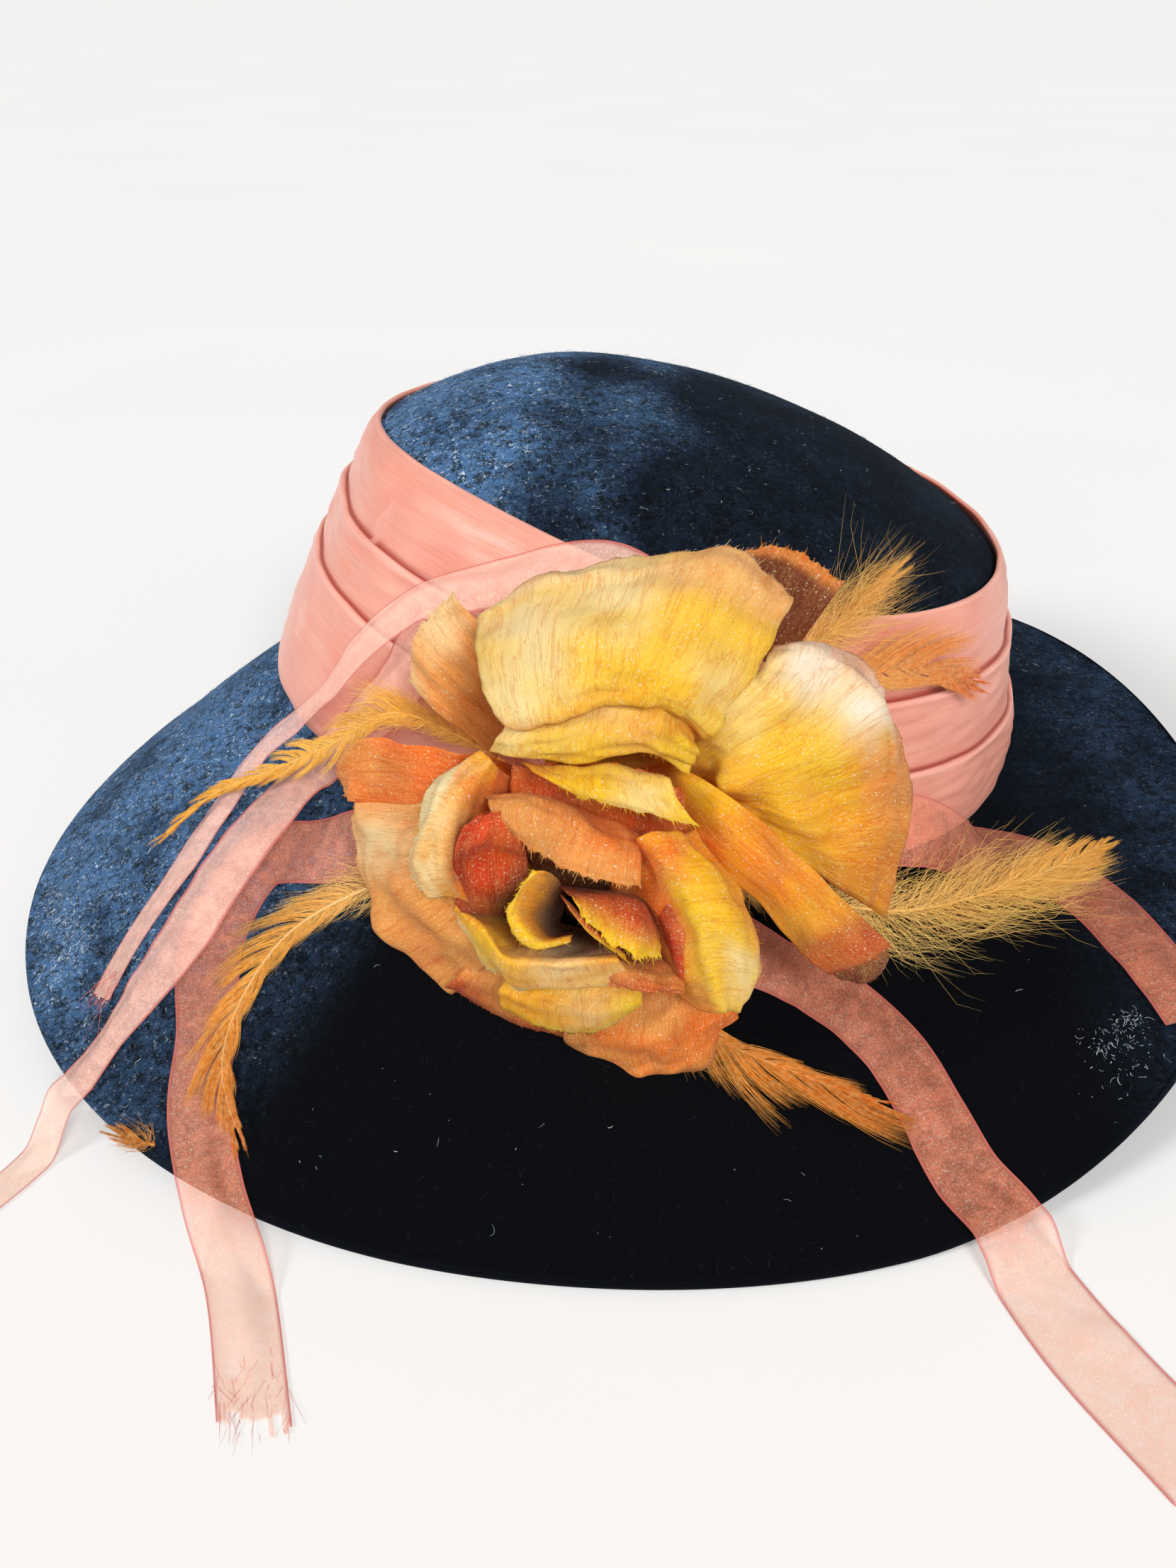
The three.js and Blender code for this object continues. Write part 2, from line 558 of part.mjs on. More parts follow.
// Streamers of organza
const RIBBONS = [
  {
    name: "loop",
    from: 100,
    rows: [
      { at: 267, out: 0.07, height: 0.98, face: 10, width: 0.6 },
      { at: 268, out: -0.01, height: 1.14, face: 40, width: 0.9 },
      { at: 263, out: -0.04, height: 1.19, face: 60, width: 1.0 },
      { at: 257, out: -0.05, height: 1.19, face: 65, width: 0.9 },
      { at: 249, out: -0.04, height: 1.15, face: 65, width: 0.7 },
      { at: 240, out: -0.03, height: 1.08, face: 60, width: 0.6 },
      { at: 233, out: 0.0, height: 0.98, face: 50, width: 0.5 },
      { at: 224, out: 0.01, height: 0.79, face: 40, width: 0.4 },
      { at: 210, out: 0.1, height: 0.54, face: 45, width: 0.4 },
      { at: 211, out: 0.28, height: 0.43, face: 70, width: 0.4 },
      { at: 213, out: 0.52, height: 0.0, face: 90, width: 0.35 },
      { at: 215, out: 0.7, height: 0.0, face: 90, width: 0.32 },
      { at: 217, out: 0.84, height: 0.0, face: 90, width: 0.3 },
    ],
  },
  {
    name: "tail_front",
    from: 150,
    rows: [
      { at: 251, out: 0.01, height: 0.91, face: 10, width: 0.6 },
      { at: 242, out: -0.04, height: 1.0, face: 30, width: 0.7 },
      { at: 234, out: 0.0, height: 0.81, face: 30, width: 0.75 },
      { at: 220, out: 0.06, height: 0.53, face: 45, width: 0.8 },
      { at: 221, out: 0.32, height: 0.46, face: 80, width: 0.8 },
      { at: 222, out: 0.55, height: 0.36, face: 90, width: 0.75 },
      { at: 223, out: 0.78, height: 0.25, face: 90, width: 0.6 },
      { at: 221, out: 1.0, height: 0.0, face: 90, width: 0.5 },
      { at: 222.5, out: 1.16, height: 0.0, face: 90, width: 0.45 },
      { at: 223, out: 1.38, height: 0.0, face: 90, width: 0.4 },
    ],
  },
  {
    name: "tail_near",
    from: 190,
    rows: [
      { at: 245, out: 0.08, height: 0.54, face: 10, width: 0.8 },
      { at: 235, out: 0.13, height: 0.47, face: 30, width: 0.9 },
      { at: 229, out: 0.18, height: 0.42, face: 60, width: 1.0 },
      { at: 221, out: 0.3, height: 0.0, face: 80, width: 1.0 },
      { at: 223, out: 0.53, height: 0.0, face: 90, width: 0.85 },
      { at: 228.5, out: 0.71, height: 0.0, face: 90, width: 0.75 },
      { at: 232, out: 0.86, height: 0.0, face: 90, width: 0.75 },
      { at: 236.5, out: 1.0, height: 0.0, face: 90, width: 0.7 },
      { at: 241.5, out: 1.15, height: 0.0, face: 90, width: 0.7 },
      { at: 247.5, out: 1.46, height: 0.0, face: 90, width: 0.7 },
    ],
  },
  {
    name: "tail_back",
    from: 0,
    rows: [
      { at: 285, out: 0.15, height: 0.59, face: 0, width: 0.8 },
      { at: 297, out: 0.1, height: 0.54, face: 15, width: 1.0 },
      { at: 305, out: 0.13, height: 0.49, face: 35, width: 0.9 },
      { at: 316, out: 0.18, height: 0.36, face: 60, width: 0.9 },
      { at: 327.5, out: 0.25, height: 0.0, face: 90, width: 0.95 },
      { at: 327, out: 0.39, height: 0.0, face: 90, width: 1.0 },
      { at: 325.6, out: 0.57, height: 0.0, face: 90, width: 0.95 },
      { at: 322.9, out: 0.75, height: 0.0, face: 90, width: 0.9 },
      { at: 320, out: 0.96, height: 0.0, face: 90, width: 0.9 },
    ],
  },
  {
    name: "tail_right",
    from: -45,
    rows: [
      { at: 277, out: 0.2, height: 0.37, face: 45, width: 0.8 },
      { at: 287, out: 0.29, height: 0.0, face: 90, width: 0.9 },
      { at: 292.8, out: 0.51, height: 0.0, face: 90, width: 0.85 },
      { at: 293.8, out: 0.71, height: 0.0, face: 90, width: 0.85 },
      { at: 294.3, out: 0.87, height: 0.0, face: 90, width: 0.85 },
      { at: 295.5, out: 1.01, height: 0.0, face: 90, width: 0.9 },
      { at: 295.5, out: 1.16, height: 0.0, face: 90, width: 0.95 },
      { at: 295.9, out: 1.33, height: 0.0, face: 90, width: 1.0 },
      { at: 297.4, out: 1.64, height: 0.0, face: 90, width: 1.0 },
    ],
  },
];
for (const ribbon of RIBBONS) {
  const grid = trimming(ribbon, RIBBON_WIDTH, ORGANZA, RIBBON_STEPS);
  add(`ribbon_${ribbon.name}`, sheet(grid, () => ORGANZA), organzaRose);
}

// Hackle feathers: the vane's edge steps in and out with the locks of barbs
const FEATHERS = [
  {
    name: "upper_right",
    from: 50,
    rows: [
      { at: 276, out: 0.09, height: 0.87, face: 0, width: 0.2 },
      { at: 287, out: 0.0, height: 1.02, face: 0, width: 0.7 },
      { at: 293, out: -0.03, height: 1.08, face: 0, width: 0.5 },
      { at: 299, out: -0.06, height: 1.13, face: 0, width: 0.12 },
    ],
  },
  {
    name: "over_band",
    from: 27,
    rows: [
      { at: 280, out: 0.09, height: 0.78, face: 0, width: 0.2 },
      { at: 292, out: 0.01, height: 0.91, face: 0, width: 0.7 },
      { at: 304, out: -0.01, height: 0.91, face: 0, width: 0.8 },
      { at: 317, out: 0.01, height: 0.79, face: 10, width: 0.15 },
    ],
  },
  {
    name: "back",
    from: -20,
    rows: [
      { at: 281, out: 0.18, height: 0.5, face: 20, width: 0.2 },
      { at: 298, out: 0.26, height: 0.38, face: 45, width: 0.8 },
      { at: 312, out: 0.35, height: 0.38, face: 60, width: 0.9 },
      { at: 322, out: 0.42, height: 0.37, face: 70, width: 0.5 },
      { at: 330, out: 0.49, height: 0.34, face: 70, width: 0.12 },
    ],
  },
  {
    name: "near_right",
    from: -85,
    rows: [
      { at: 269, out: 0.23, height: 0.37, face: 45, width: 0.2 },
      { at: 275, out: 0.44, height: 0.26, face: 80, width: 0.6 },
      { at: 283, out: 0.57, height: 0.21, face: 90, width: 0.7 },
      { at: 289, out: 0.66, height: 0.17, face: 90, width: 0.12 },
    ],
  },
  {
    name: "near_left",
    from: 215,
    rows: [
      { at: 250, out: 0.1, height: 0.48, face: 20, width: 0.15 },
      { at: 236, out: 0.25, height: 0.4, face: 45, width: 0.5 },
      { at: 231, out: 0.45, height: 0.34, face: 80, width: 0.6 },
      { at: 231, out: 0.67, height: 0.25, face: 90, width: 0.5 },
      { at: 233, out: 0.79, height: 0.2, face: 90, width: 0.35 },
      { at: 236, out: 0.87, height: 0.14, face: 90, width: 0.1 },
    ],
  },
  {
    name: "front",
    from: 170,
    rows: [
      { at: 247, out: 0.04, height: 0.78, face: 10, width: 0.15 },
      { at: 238, out: 0.07, height: 0.83, face: 20, width: 0.6 },
      { at: 227, out: 0.1, height: 0.68, face: 30, width: 0.6 },
      { at: 217, out: 0.18, height: 0.55, face: 45, width: 0.45 },
      { at: 211, out: 0.32, height: 0.47, face: 60, width: 0.35 },
      { at: 209, out: 0.48, height: 0.38, face: 70, width: 0.1 },
    ],
  },
  {
    name: "tip",
    rows: [
      { at: 230.2, out: 0.97, height: 0, face: 90, width: 0.25 },
      { at: 229, out: 0.985, height: 0, face: 90, width: 0.3 },
      { at: 227.4, out: 1.0, height: 0, face: 90, width: 0.1 },
    ],
  },
];
for (const feather of FEATHERS) {
  const grid = trimming(feather, FEATHER_WIDTH, QUILL, FEATHER_STEPS);
  grid.forEach((row, i) => {
    if (i % 2 === 0) return;
    row[0].lerp(row[1], 1 - LOCK_SHARE);
    row[2].lerp(row[1], 1 - LOCK_SHARE);
  });
  add(`feather_${feather.name}`, sheet(grid, (column) => (column === 1 ? QUILL : VANE)), hackleGold);
}

// The origin goes to the middle of the bottom of the bounding box.
const box = new THREE.Box3().setFromObject(hat);
const middle = box.getCenter(vec(0, 0, 0));
hat.position.set(-middle.x, -middle.y, -box.min.z);

export default hat;
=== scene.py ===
"""Looks of a wide-brimmed wool felt hat with a pleated satin band, a silk rose, hackle feathers and
sheer organza streamers, on a plain white table."""

import math

import bpy
import numpy as np
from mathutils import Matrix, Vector


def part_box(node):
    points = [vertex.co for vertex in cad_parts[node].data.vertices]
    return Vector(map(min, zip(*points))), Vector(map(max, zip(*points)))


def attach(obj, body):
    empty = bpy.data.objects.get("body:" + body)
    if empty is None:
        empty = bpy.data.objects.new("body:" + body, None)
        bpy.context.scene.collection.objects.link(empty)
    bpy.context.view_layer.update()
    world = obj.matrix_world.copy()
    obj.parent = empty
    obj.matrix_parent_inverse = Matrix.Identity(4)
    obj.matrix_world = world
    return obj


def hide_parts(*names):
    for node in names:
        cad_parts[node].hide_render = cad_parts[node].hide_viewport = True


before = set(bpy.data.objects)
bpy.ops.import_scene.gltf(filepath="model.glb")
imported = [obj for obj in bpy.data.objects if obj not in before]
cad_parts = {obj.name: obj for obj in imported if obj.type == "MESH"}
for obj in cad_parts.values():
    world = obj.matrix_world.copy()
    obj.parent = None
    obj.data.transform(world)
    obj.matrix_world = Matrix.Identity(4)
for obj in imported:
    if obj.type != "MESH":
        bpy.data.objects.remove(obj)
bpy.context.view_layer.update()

# Sizes of the frame's own solids, in millimetres. The crown's upright axis is the Z axis, X runs to the
# right in the photograph, Y away from it, and the table is at 0.
HEAD_LENGTH = 203.0
HEAD_WIDTH = 171.0
FELT = 2.5
BRIM_FRONT = 58.8
BRIM_BACK = 58.8
BRIM_ROSE_SIDE = 85.0
BRIM_FAR_SIDE = 60.5
BRIM_DROP = 30.0
FRONT_LIFT = 6.0
BACK_LIFT = 20.0
CROWN_HEIGHT = 92.0
BASE_TILT = 7.4
TOP_TILT = 10.5
LEVEL_ARC = 0.3
GAP = 0.3
SATIN = 1.6
ROSE_HEIGHT = 56.0
ROSE_SIDE = -11.0
ROSE_TURN = -15.0
ROSE_LIFT = 11.0
PAD_RADIUS = 17.0
PAD_DEPTH = 9.0
PAD_BACK = 0.9
BAND_FOOT = 0.08
BAND_TOP = 0.755
BAND_RISE = 0.045
BAND_HIGHEST = 225.0
LOWER_FOLD = (0.51, 0.35)
UPPER_FOLD = (0.74, 0.68)
RIBBON_WIDTH = 18.0
FEATHER_WIDTH = 17.0
START_GAP = 0.82
START_DEEP = 0.5
START_WIDTH = 0.5
EDGE_OVER = 1.03
EDGE_DOWN = 1.15

CROWN_SECTIONS = np.array([  # up, front, back, side, tilt
    (0.0, 1.0, 1.0, 1.0, 0.0),
    (0.08, 0.955, 0.99, 0.975, 0.1),
    (0.3, 0.855, 0.965, 0.945, 0.4),
    (0.55, 0.75, 0.935, 0.905, 0.75),
    (0.75, 0.665, 0.895, 0.865, 1.0),
    (0.8, 0.604, 0.813, 0.797, 1.0),
    (0.85, 0.533, 0.717, 0.717, 1.0),
    (0.9, 0.447, 0.602, 0.618, 1.0),
    (0.95, 0.331, 0.446, 0.479, 1.0),
    (0.98, 0.223, 0.3, 0.343, 1.0),
    (1.0, 0.0, 0.0, 0.0, 1.0),
])
BRIM_SECTIONS = np.array([(0.0, 0.0), (0.14, 0.1), (0.36, 0.3), (0.62, 0.57), (0.84, 0.82), (1.0, 1.0)])
DOME_UP = 0.93
BRIM_WAVES = ((2, 0.035, -0.001), (3, -0.021, -0.011), (4, 0.008, -0.007))

# The photograph and its camera
PHOTO_WIDTH, PHOTO_HEIGHT = 1659, 2212
FOCAL = 1662.0  # in pixels of the photograph
PITCH = 35.0  # degrees that the camera looks down
EYE = np.array([-14.8, -294.9, 209.6])
AHEAD = np.array([0.0, math.cos(math.radians(PITCH)), -math.sin(math.radians(PITCH))])
ABOVE = np.array([0.0, math.sin(math.radians(PITCH)), math.cos(math.radians(PITCH))])
ASIDE = np.array([1.0, 0.0, 0.0])
UP = np.array([0.0, 0.0, 1.0])

SEED = 7
NEWTON_STEPS = 12
rng = np.random.default_rng(SEED)


# Small tools

def mix(a, b, t):
    return a + (b - a) * t


def smooth(low, high, x):
    t = np.clip((x - low) / (high - low), 0.0, 1.0)
    return t * t * (3 - 2 * t)


def unit(v):
    return v / np.maximum(np.linalg.norm(v, axis=-1, keepdims=True), 1e-12)


def circle(count):
    """Directions evenly round a full turn."""
    return np.arange(count) / count * 2 * math.pi


def ripple(points, size, seed, waves=14):
    """Smooth noise from about -1 to 1 at points, with features of about size."""
    pick = np.random.default_rng(seed)
    total = np.zeros(points.shape[:-1])
    for _ in range(waves):
        direction = unit(pick.normal(size=points.shape[-1])) * (2 * math.pi / size) * pick.uniform(0.5, 1.4)
        total += np.sin(points @ direction + pick.uniform(0, 2 * math.pi))
    return total / math.sqrt(waves / 2) * 0.7


def between(rows, column, at):
    """A column of a table, read at places of its first column, on a smooth curve through the rows."""
    key, value = rows[:, 0], rows[:, column]
    at = np.asarray(at, float)
    last = len(key) - 1
    i = np.clip(np.searchsorted(key, at, "left") - 1, 0, last - 1)

    def slope(k):
        after, before = np.clip(k + 1, 0, last), np.clip(k - 1, 0, last)
        return (value[after] - value[before]) / (key[after] - key[before])

    span = key[i + 1] - key[i]
    t = (at - key[i]) / span
    a, b = value[i], value[i + 1]
    da, db = slope(i) * span, slope(i + 1) * span
    return a + t * (da + t * (3 * (b - a) - 2 * da - db + t * (2 * (a - b) + da + db)))


def catmull(points, t):
    """Points of a centripetal curve through points, at t from 0 to 1."""
    points = np.asarray(points, float)
    last = len(points) - 1
    ext = np.vstack([2 * points[0] - points[1], points, 2 * points[-1] - points[-2]])
    p = np.clip(np.asarray(t, float), 0, 1) * last
    k = np.clip(np.floor(p).astype(int), 0, last - 1)
    w = (p - k)[:, None]
    x0, x1, x2, x3 = (ext[k + n] for n in range(4))

    def gap(a, b):
        return np.maximum(np.linalg.norm(a - b, axis=1) ** 0.5, 1e-6)[:, None]

    d0, d1, d2 = gap(x0, x1), gap(x1, x2), gap(x2, x3)
    t1 = ((x1 - x0) / d0 - (x2 - x0) / (d0 + d1) + (x2 - x1) / d1) * d1
    t2 = ((x2 - x1) / d1 - (x3 - x1) / (d1 + d2) + (x3 - x2) / d2) * d1
    return x1 + w * (t1 + w * (3 * (x2 - x1) - 2 * t1 - t2 + w * (2 * (x1 - x2) + t1 + t2)))


def grid_normals(grid, wraps=False):
    if wraps:
        across = np.roll(grid, -1, 1) - np.roll(grid, 1, 1)
    else:
        across = np.gradient(grid, axis=1)
    along = np.gradient(grid, axis=0)
    return unit(np.cross(across, along))


# The hat's own forms

def crown_point(bearing, up):
    front = between(CROWN_SECTIONS, 1, up) * HEAD_LENGTH / 2
    back = between(CROWN_SECTIONS, 2, up) * HEAD_LENGTH / 2
    side = between(CROWN_SECTIONS, 3, up) * HEAD_WIDTH / 2
    tilt = np.radians(mix(BASE_TILT, TOP_TILT, between(CROWN_SECTIONS, 4, up)))
    x = (back - front) / 2 + (back + front) / 2 * np.cos(bearing)
    y = side * np.sin(bearing)
    z = FELT + BRIM_DROP + up * CROWN_HEIGHT - x * np.tan(tilt)
    return np.stack(np.broadcast_arrays(x, y, z), -1)


def crown_top(bearing, up):
    """The crown with a round dome above DOME_UP."""
    if up <= DOME_UP:
        return crown_point(bearing, np.full_like(bearing, up))
    share = math.sqrt((1 - up) / (1 - DOME_UP))
    foot = crown_point(bearing, np.full_like(bearing, DOME_UP))
    tip = crown_point(0.0, 1.0)
    point = mix(tip, foot, share)
    fall = point[:, 0] * math.tan(math.radians(TOP_TILT))
    point[:, 2] = FELT + BRIM_DROP + up * CROWN_HEIGHT - fall
    return point


def edge_lift(bearing):
    lift = np.where(np.cos(bearing) > 0, BACK_LIFT, FRONT_LIFT)
    return lift * smooth(LEVEL_ARC, 1, np.abs(np.cos(bearing)))


def brim_point(bearing, out):
    bearing, out = np.broadcast_arrays(np.asarray(bearing, float), np.asarray(out, float))
    foot = crown_point(bearing, np.zeros_like(bearing))
    wave = 1 + sum(s * np.sin(n * bearing) + c * np.cos(n * bearing) for n, s, c in BRIM_WAVES)
    front, back = HEAD_LENGTH / 2 + BRIM_FRONT, HEAD_LENGTH / 2 + BRIM_BACK
    x = (back - front) / 2 + (back + front) / 2 * np.cos(bearing) * wave
    near, far = HEAD_WIDTH / 2 + BRIM_ROSE_SIDE, HEAD_WIDTH / 2 + BRIM_FAR_SIDE
    y = (far - near) / 2 + (far + near) / 2 * np.sin(bearing) * wave
    fall = np.where(out >= 1, 1.0, between(BRIM_SECTIONS, 1, np.minimum(out, 1.0)))
    z = mix(foot[..., 2], edge_lift(bearing) + FELT, fall)
    return np.stack([mix(foot[..., 0], x, out), mix(foot[..., 1], y, out), z], -1)


def off_crown(bearing, up, proud):
    step = 0.01
    across = crown_point(bearing + step, up) - crown_point(bearing - step, up)
    along = crown_point(bearing, up + step) - crown_point(bearing, up - step)
    return crown_point(bearing, up) + unit(np.cross(across, along)) * np.asarray(proud)[..., None]


def band_top(bearing):
    return BAND_TOP + BAND_RISE * np.maximum(0, np.cos(bearing - math.radians(BAND_HIGHEST))) ** 4


def band_point(bearing, share, proud):
    bearing, share, proud = np.broadcast_arrays(*(np.asarray(v, float) for v in (bearing, share, proud)))
    return off_crown(bearing, mix(BAND_FOOT, band_top(bearing), share), proud)


turn, lift = math.radians(ROSE_TURN), math.radians(ROSE_LIFT)
rose_axis = np.array([math.sin(turn) * math.cos(lift), -math.cos(turn) * math.cos(lift), math.sin(lift)])
rose_up = unit(UP - rose_axis * rose_axis[2])
rose_right = np.cross(rose_up, rose_axis)
pad_bearing = -math.pi / 2 + math.asin(2 * ROSE_SIDE / HEAD_LENGTH)
band_low, band_high = band_point(pad_bearing, 0, 0), band_point(pad_bearing, 1, 0)
band_height = np.linalg.norm(band_high - band_low)
pad_share = (ROSE_HEIGHT - band_low[2]) / band_height
rose = band_point(pad_bearing, pad_share, GAP + 3 * SATIN + GAP)


def rose_point(out, around, forward):
    across, up = np.asarray(out * np.cos(around)), np.asarray(out * np.sin(around))
    return rose + across[..., None] * rose_right + up[..., None] * rose_up + rose_axis * forward


def behind_rose(out, around):
    """The point just off the band this far from the rose's axis, in a direction around it."""
    turned = out * np.cos(around) / np.linalg.norm(band_point(pad_bearing, pad_share, 0))
    share = pad_share + out * np.sin(around) / band_height
    return band_point(pad_bearing + turned, share, GAP + 3 * SATIN + GAP)


def pad_start(around):
    """Where a trimming leaves the pad's side."""
    behind = behind_rose(PAD_BACK * PAD_RADIUS, around)
    side = mix(rose_point(PAD_RADIUS, around, PAD_DEPTH), behind, START_DEEP)
    return side + rose_point(START_GAP, around, 0) - rose


def on_brim(x, y):
    """The bearing and the share out at which the brim's upper face lies under a point."""
    bearing = np.arctan2(y / HEAD_WIDTH, x / HEAD_LENGTH)
    out = np.full_like(bearing, 0.5)
    step = 1e-3
    for _ in range(NEWTON_STEPS):
        p = brim_point(bearing, out)
        turned = (brim_point(bearing + step, out) - p) / step
        moved = (brim_point(bearing, out + step) - p) / step
        dx, dy = x - p[..., 0], y - p[..., 1]
        area = turned[..., 0] * moved[..., 1] - turned[..., 1] * moved[..., 0]
        bearing = bearing + np.clip((dx * moved[..., 1] - dy * moved[..., 0]) / area, -0.2, 0.2)
        out = out + np.clip((turned[..., 0] * dy - turned[..., 1] * dx) / area, -0.5, 0.5)
    return bearing, out


def ground(x, y):
    """Height of what lies below a point off the crown: the brim's upper face, or the table."""
    x, y = np.broadcast_arrays(np.asarray(x, float), np.asarray(y, float))
    bearing, out = on_brim(x, y)
    height = mix(brim_point(bearing, out)[..., 2], 0.0, smooth(EDGE_OVER, EDGE_DOWN, out))
    return np.where(out < 0, 0.0, height)


def ray(px, py):
    return unit(AHEAD + (px - PHOTO_WIDTH / 2) / FOCAL * ASIDE + (PHOTO_HEIGHT / 2 - py) / FOCAL * ABOVE)


def in_rose(px, py, forward):
    """The point that shows at a pixel of the photograph, this far forward of the band along the rose."""
    d = ray(px, py)
    return EYE + d * ((rose + rose_axis * forward - EYE) @ rose_axis) / (d @ rose_axis)


def pixels(points):
    """Where points show in the photograph."""
    away = points - EYE
    deep = away @ AHEAD
    across = PHOTO_WIDTH / 2 + FOCAL * (away @ ASIDE) / deep
    return np.stack([across, PHOTO_HEIGHT / 2 - FOCAL * (away @ ABOVE) / deep], -1)


def on_felt(px, py):
    """The point of the brim or table that shows at a pixel of the photograph."""
    d = ray(px, py)
    z = 15.0
    for _ in range(NEWTON_STEPS):
        p = EYE + d * (z - EYE[2]) / d[2]
        z = float(ground(p[0], p[1]))
    return p


# The frame has its origin in the middle of its own box, so its place is read from the felt's box.
corners = brim_point(circle(48), 1.0)
felt_low = np.array(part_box("felt_body")[0]) * 1000
ORIGIN = np.array([felt_low[0] - corners[:, 0].min(), felt_low[1] - corners[:, 1].min(), 0.0])


# Meshes

def gather(parts):
    """Parts joined: points, loops, each face's first loop and number of loops, tints and cloth values.

    A part is a dict of points, faces, cloth values and, if it has one, a tint.
    """
    points, loops, starts, totals, tints, cloths = [], [], [], [], [], []
    count = at = 0
    for part in parts:
        p = part["points"].reshape(-1, 3)
        points.append((p + ORIGIN) / 1000)
        for faces in part["faces"]:
            faces = np.asarray(faces)
            loops.append((faces + count).ravel())
            starts.append(at + np.arange(len(faces)) * faces.shape[1])
            totals.append(np.full(len(faces), faces.shape[1]))
            at += faces.size
        tint = part.get("tint", np.ones(3))
        tint = np.broadcast_to(tint, p.shape) if np.ndim(tint) < 2 else tint.reshape(-1, 3)
        tints.append(np.concatenate([tint, np.ones((len(p), 1))], 1))
        cloths.append(part["cloth"].reshape(-1, 3))
        count += len(p)
    return [np.concatenate(values) for values in (points, loops, starts, totals, tints, cloths)]


def build(name, parts, material, nodes=()):
    """One object from parts, in place of the frame's solids that nodes names."""
    points, loops, starts, totals, tints, cloths = gather(parts)
    mesh = bpy.data.meshes.new(name)
    mesh.vertices.add(len(points))
    mesh.vertices.foreach_set("co", points.astype(np.float32).ravel())
    mesh.loops.add(len(loops))
    mesh.loops.foreach_set("vertex_index", loops.astype(np.int32))
    mesh.polygons.add(len(starts))
    mesh.polygons.foreach_set("loop_start", starts.astype(np.int32))
    mesh.polygons.foreach_set("loop_total", totals.astype(np.int32))
    mesh.polygons.foreach_set("use_smooth", np.full(len(starts), True))
    colour = mesh.attributes.new("tint", "FLOAT_COLOR", "POINT")
    colour.data.foreach_set("color", tints.astype(np.float32).ravel())
    place = mesh.attributes.new("cloth", "FLOAT_VECTOR", "POINT")
    place.data.foreach_set("vector", cloths.astype(np.float32).ravel())
    mesh.update(calc_edges=True)
    mesh.validate()
    mesh.materials.append(material)
    thing = bpy.data.objects.new(name, mesh)
    bpy.context.collection.objects.link(thing)
    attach(thing, "root")
    if nodes:
        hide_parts(*nodes)
    return thing


def quads(rows, columns, wraps=False, start=0):
    index = start + np.arange(rows * columns).reshape(rows, columns)
    right = np.roll(index, -1, 1) if wraps else index[:, 1:]
    left = index if wraps else index[:, :-1]
    return np.stack([left[:-1], right[:-1], right[1:], left[1:]], -1).reshape(-1, 4)


def leaf(grid, thick, tint, cloth):
    """A thin closed sheet on a grid of points."""
    rows, columns = grid.shape[:2]
    normal = grid_normals(grid)
    half = np.full((rows, columns, 1), thick / 2)
    half[-1] *= 0.4
    half[:, 0] *= 0.4
    half[:, -1] *= 0.4
    front, back = grid + normal * half, grid - normal * half
    count = rows * columns
    index = np.arange(count).reshape(rows, columns)
    rim = np.concatenate([index[0, :-1], index[:-1, -1], index[-1, :0:-1], index[:0:-1, 0]])
    after = np.roll(rim, -1)
    edge = np.stack([rim, rim + count, after + count, after], -1)
    return {
        "points": np.concatenate([front.reshape(-1, 3), back.reshape(-1, 3)]),
        "faces": [quads(rows, columns), quads(rows, columns, start=count)[:, ::-1], edge],
        "tint": np.concatenate([tint.reshape(-1, 3)] * 2),
        "cloth": np.concatenate([cloth.reshape(-1, 3)] * 2),
    }


def strands(paths, widths, tints, face=None, cloth=(0, 0, 0)):
    """Flat tapering strands. paths is strands x points x 3, widths strands x points, tints strands x 3."""
    n, k = paths.shape[:2]
    along = unit(np.gradient(paths, axis=1))
    if face is None:
        face = np.broadcast_to(unit(rng.normal(size=(n, 1, 3))), paths.shape)
    side = unit(np.cross(along, face)) * widths[..., None] / 2
    points = np.stack([paths - side, paths + side], 2)
    base = (np.arange(n) * k * 2)[:, None]
    i = base + np.arange(k - 1)[None] * 2
    faces = np.stack([i, i + 1, i + 3, i + 2], -1).reshape(-1, 4)
    tint = np.broadcast_to(tints[:, None, None, :], points.shape)
    return {"points": points, "faces": [faces], "tint": tint, "cloth": np.broadcast_to(cloth, points.shape)}


# Materials

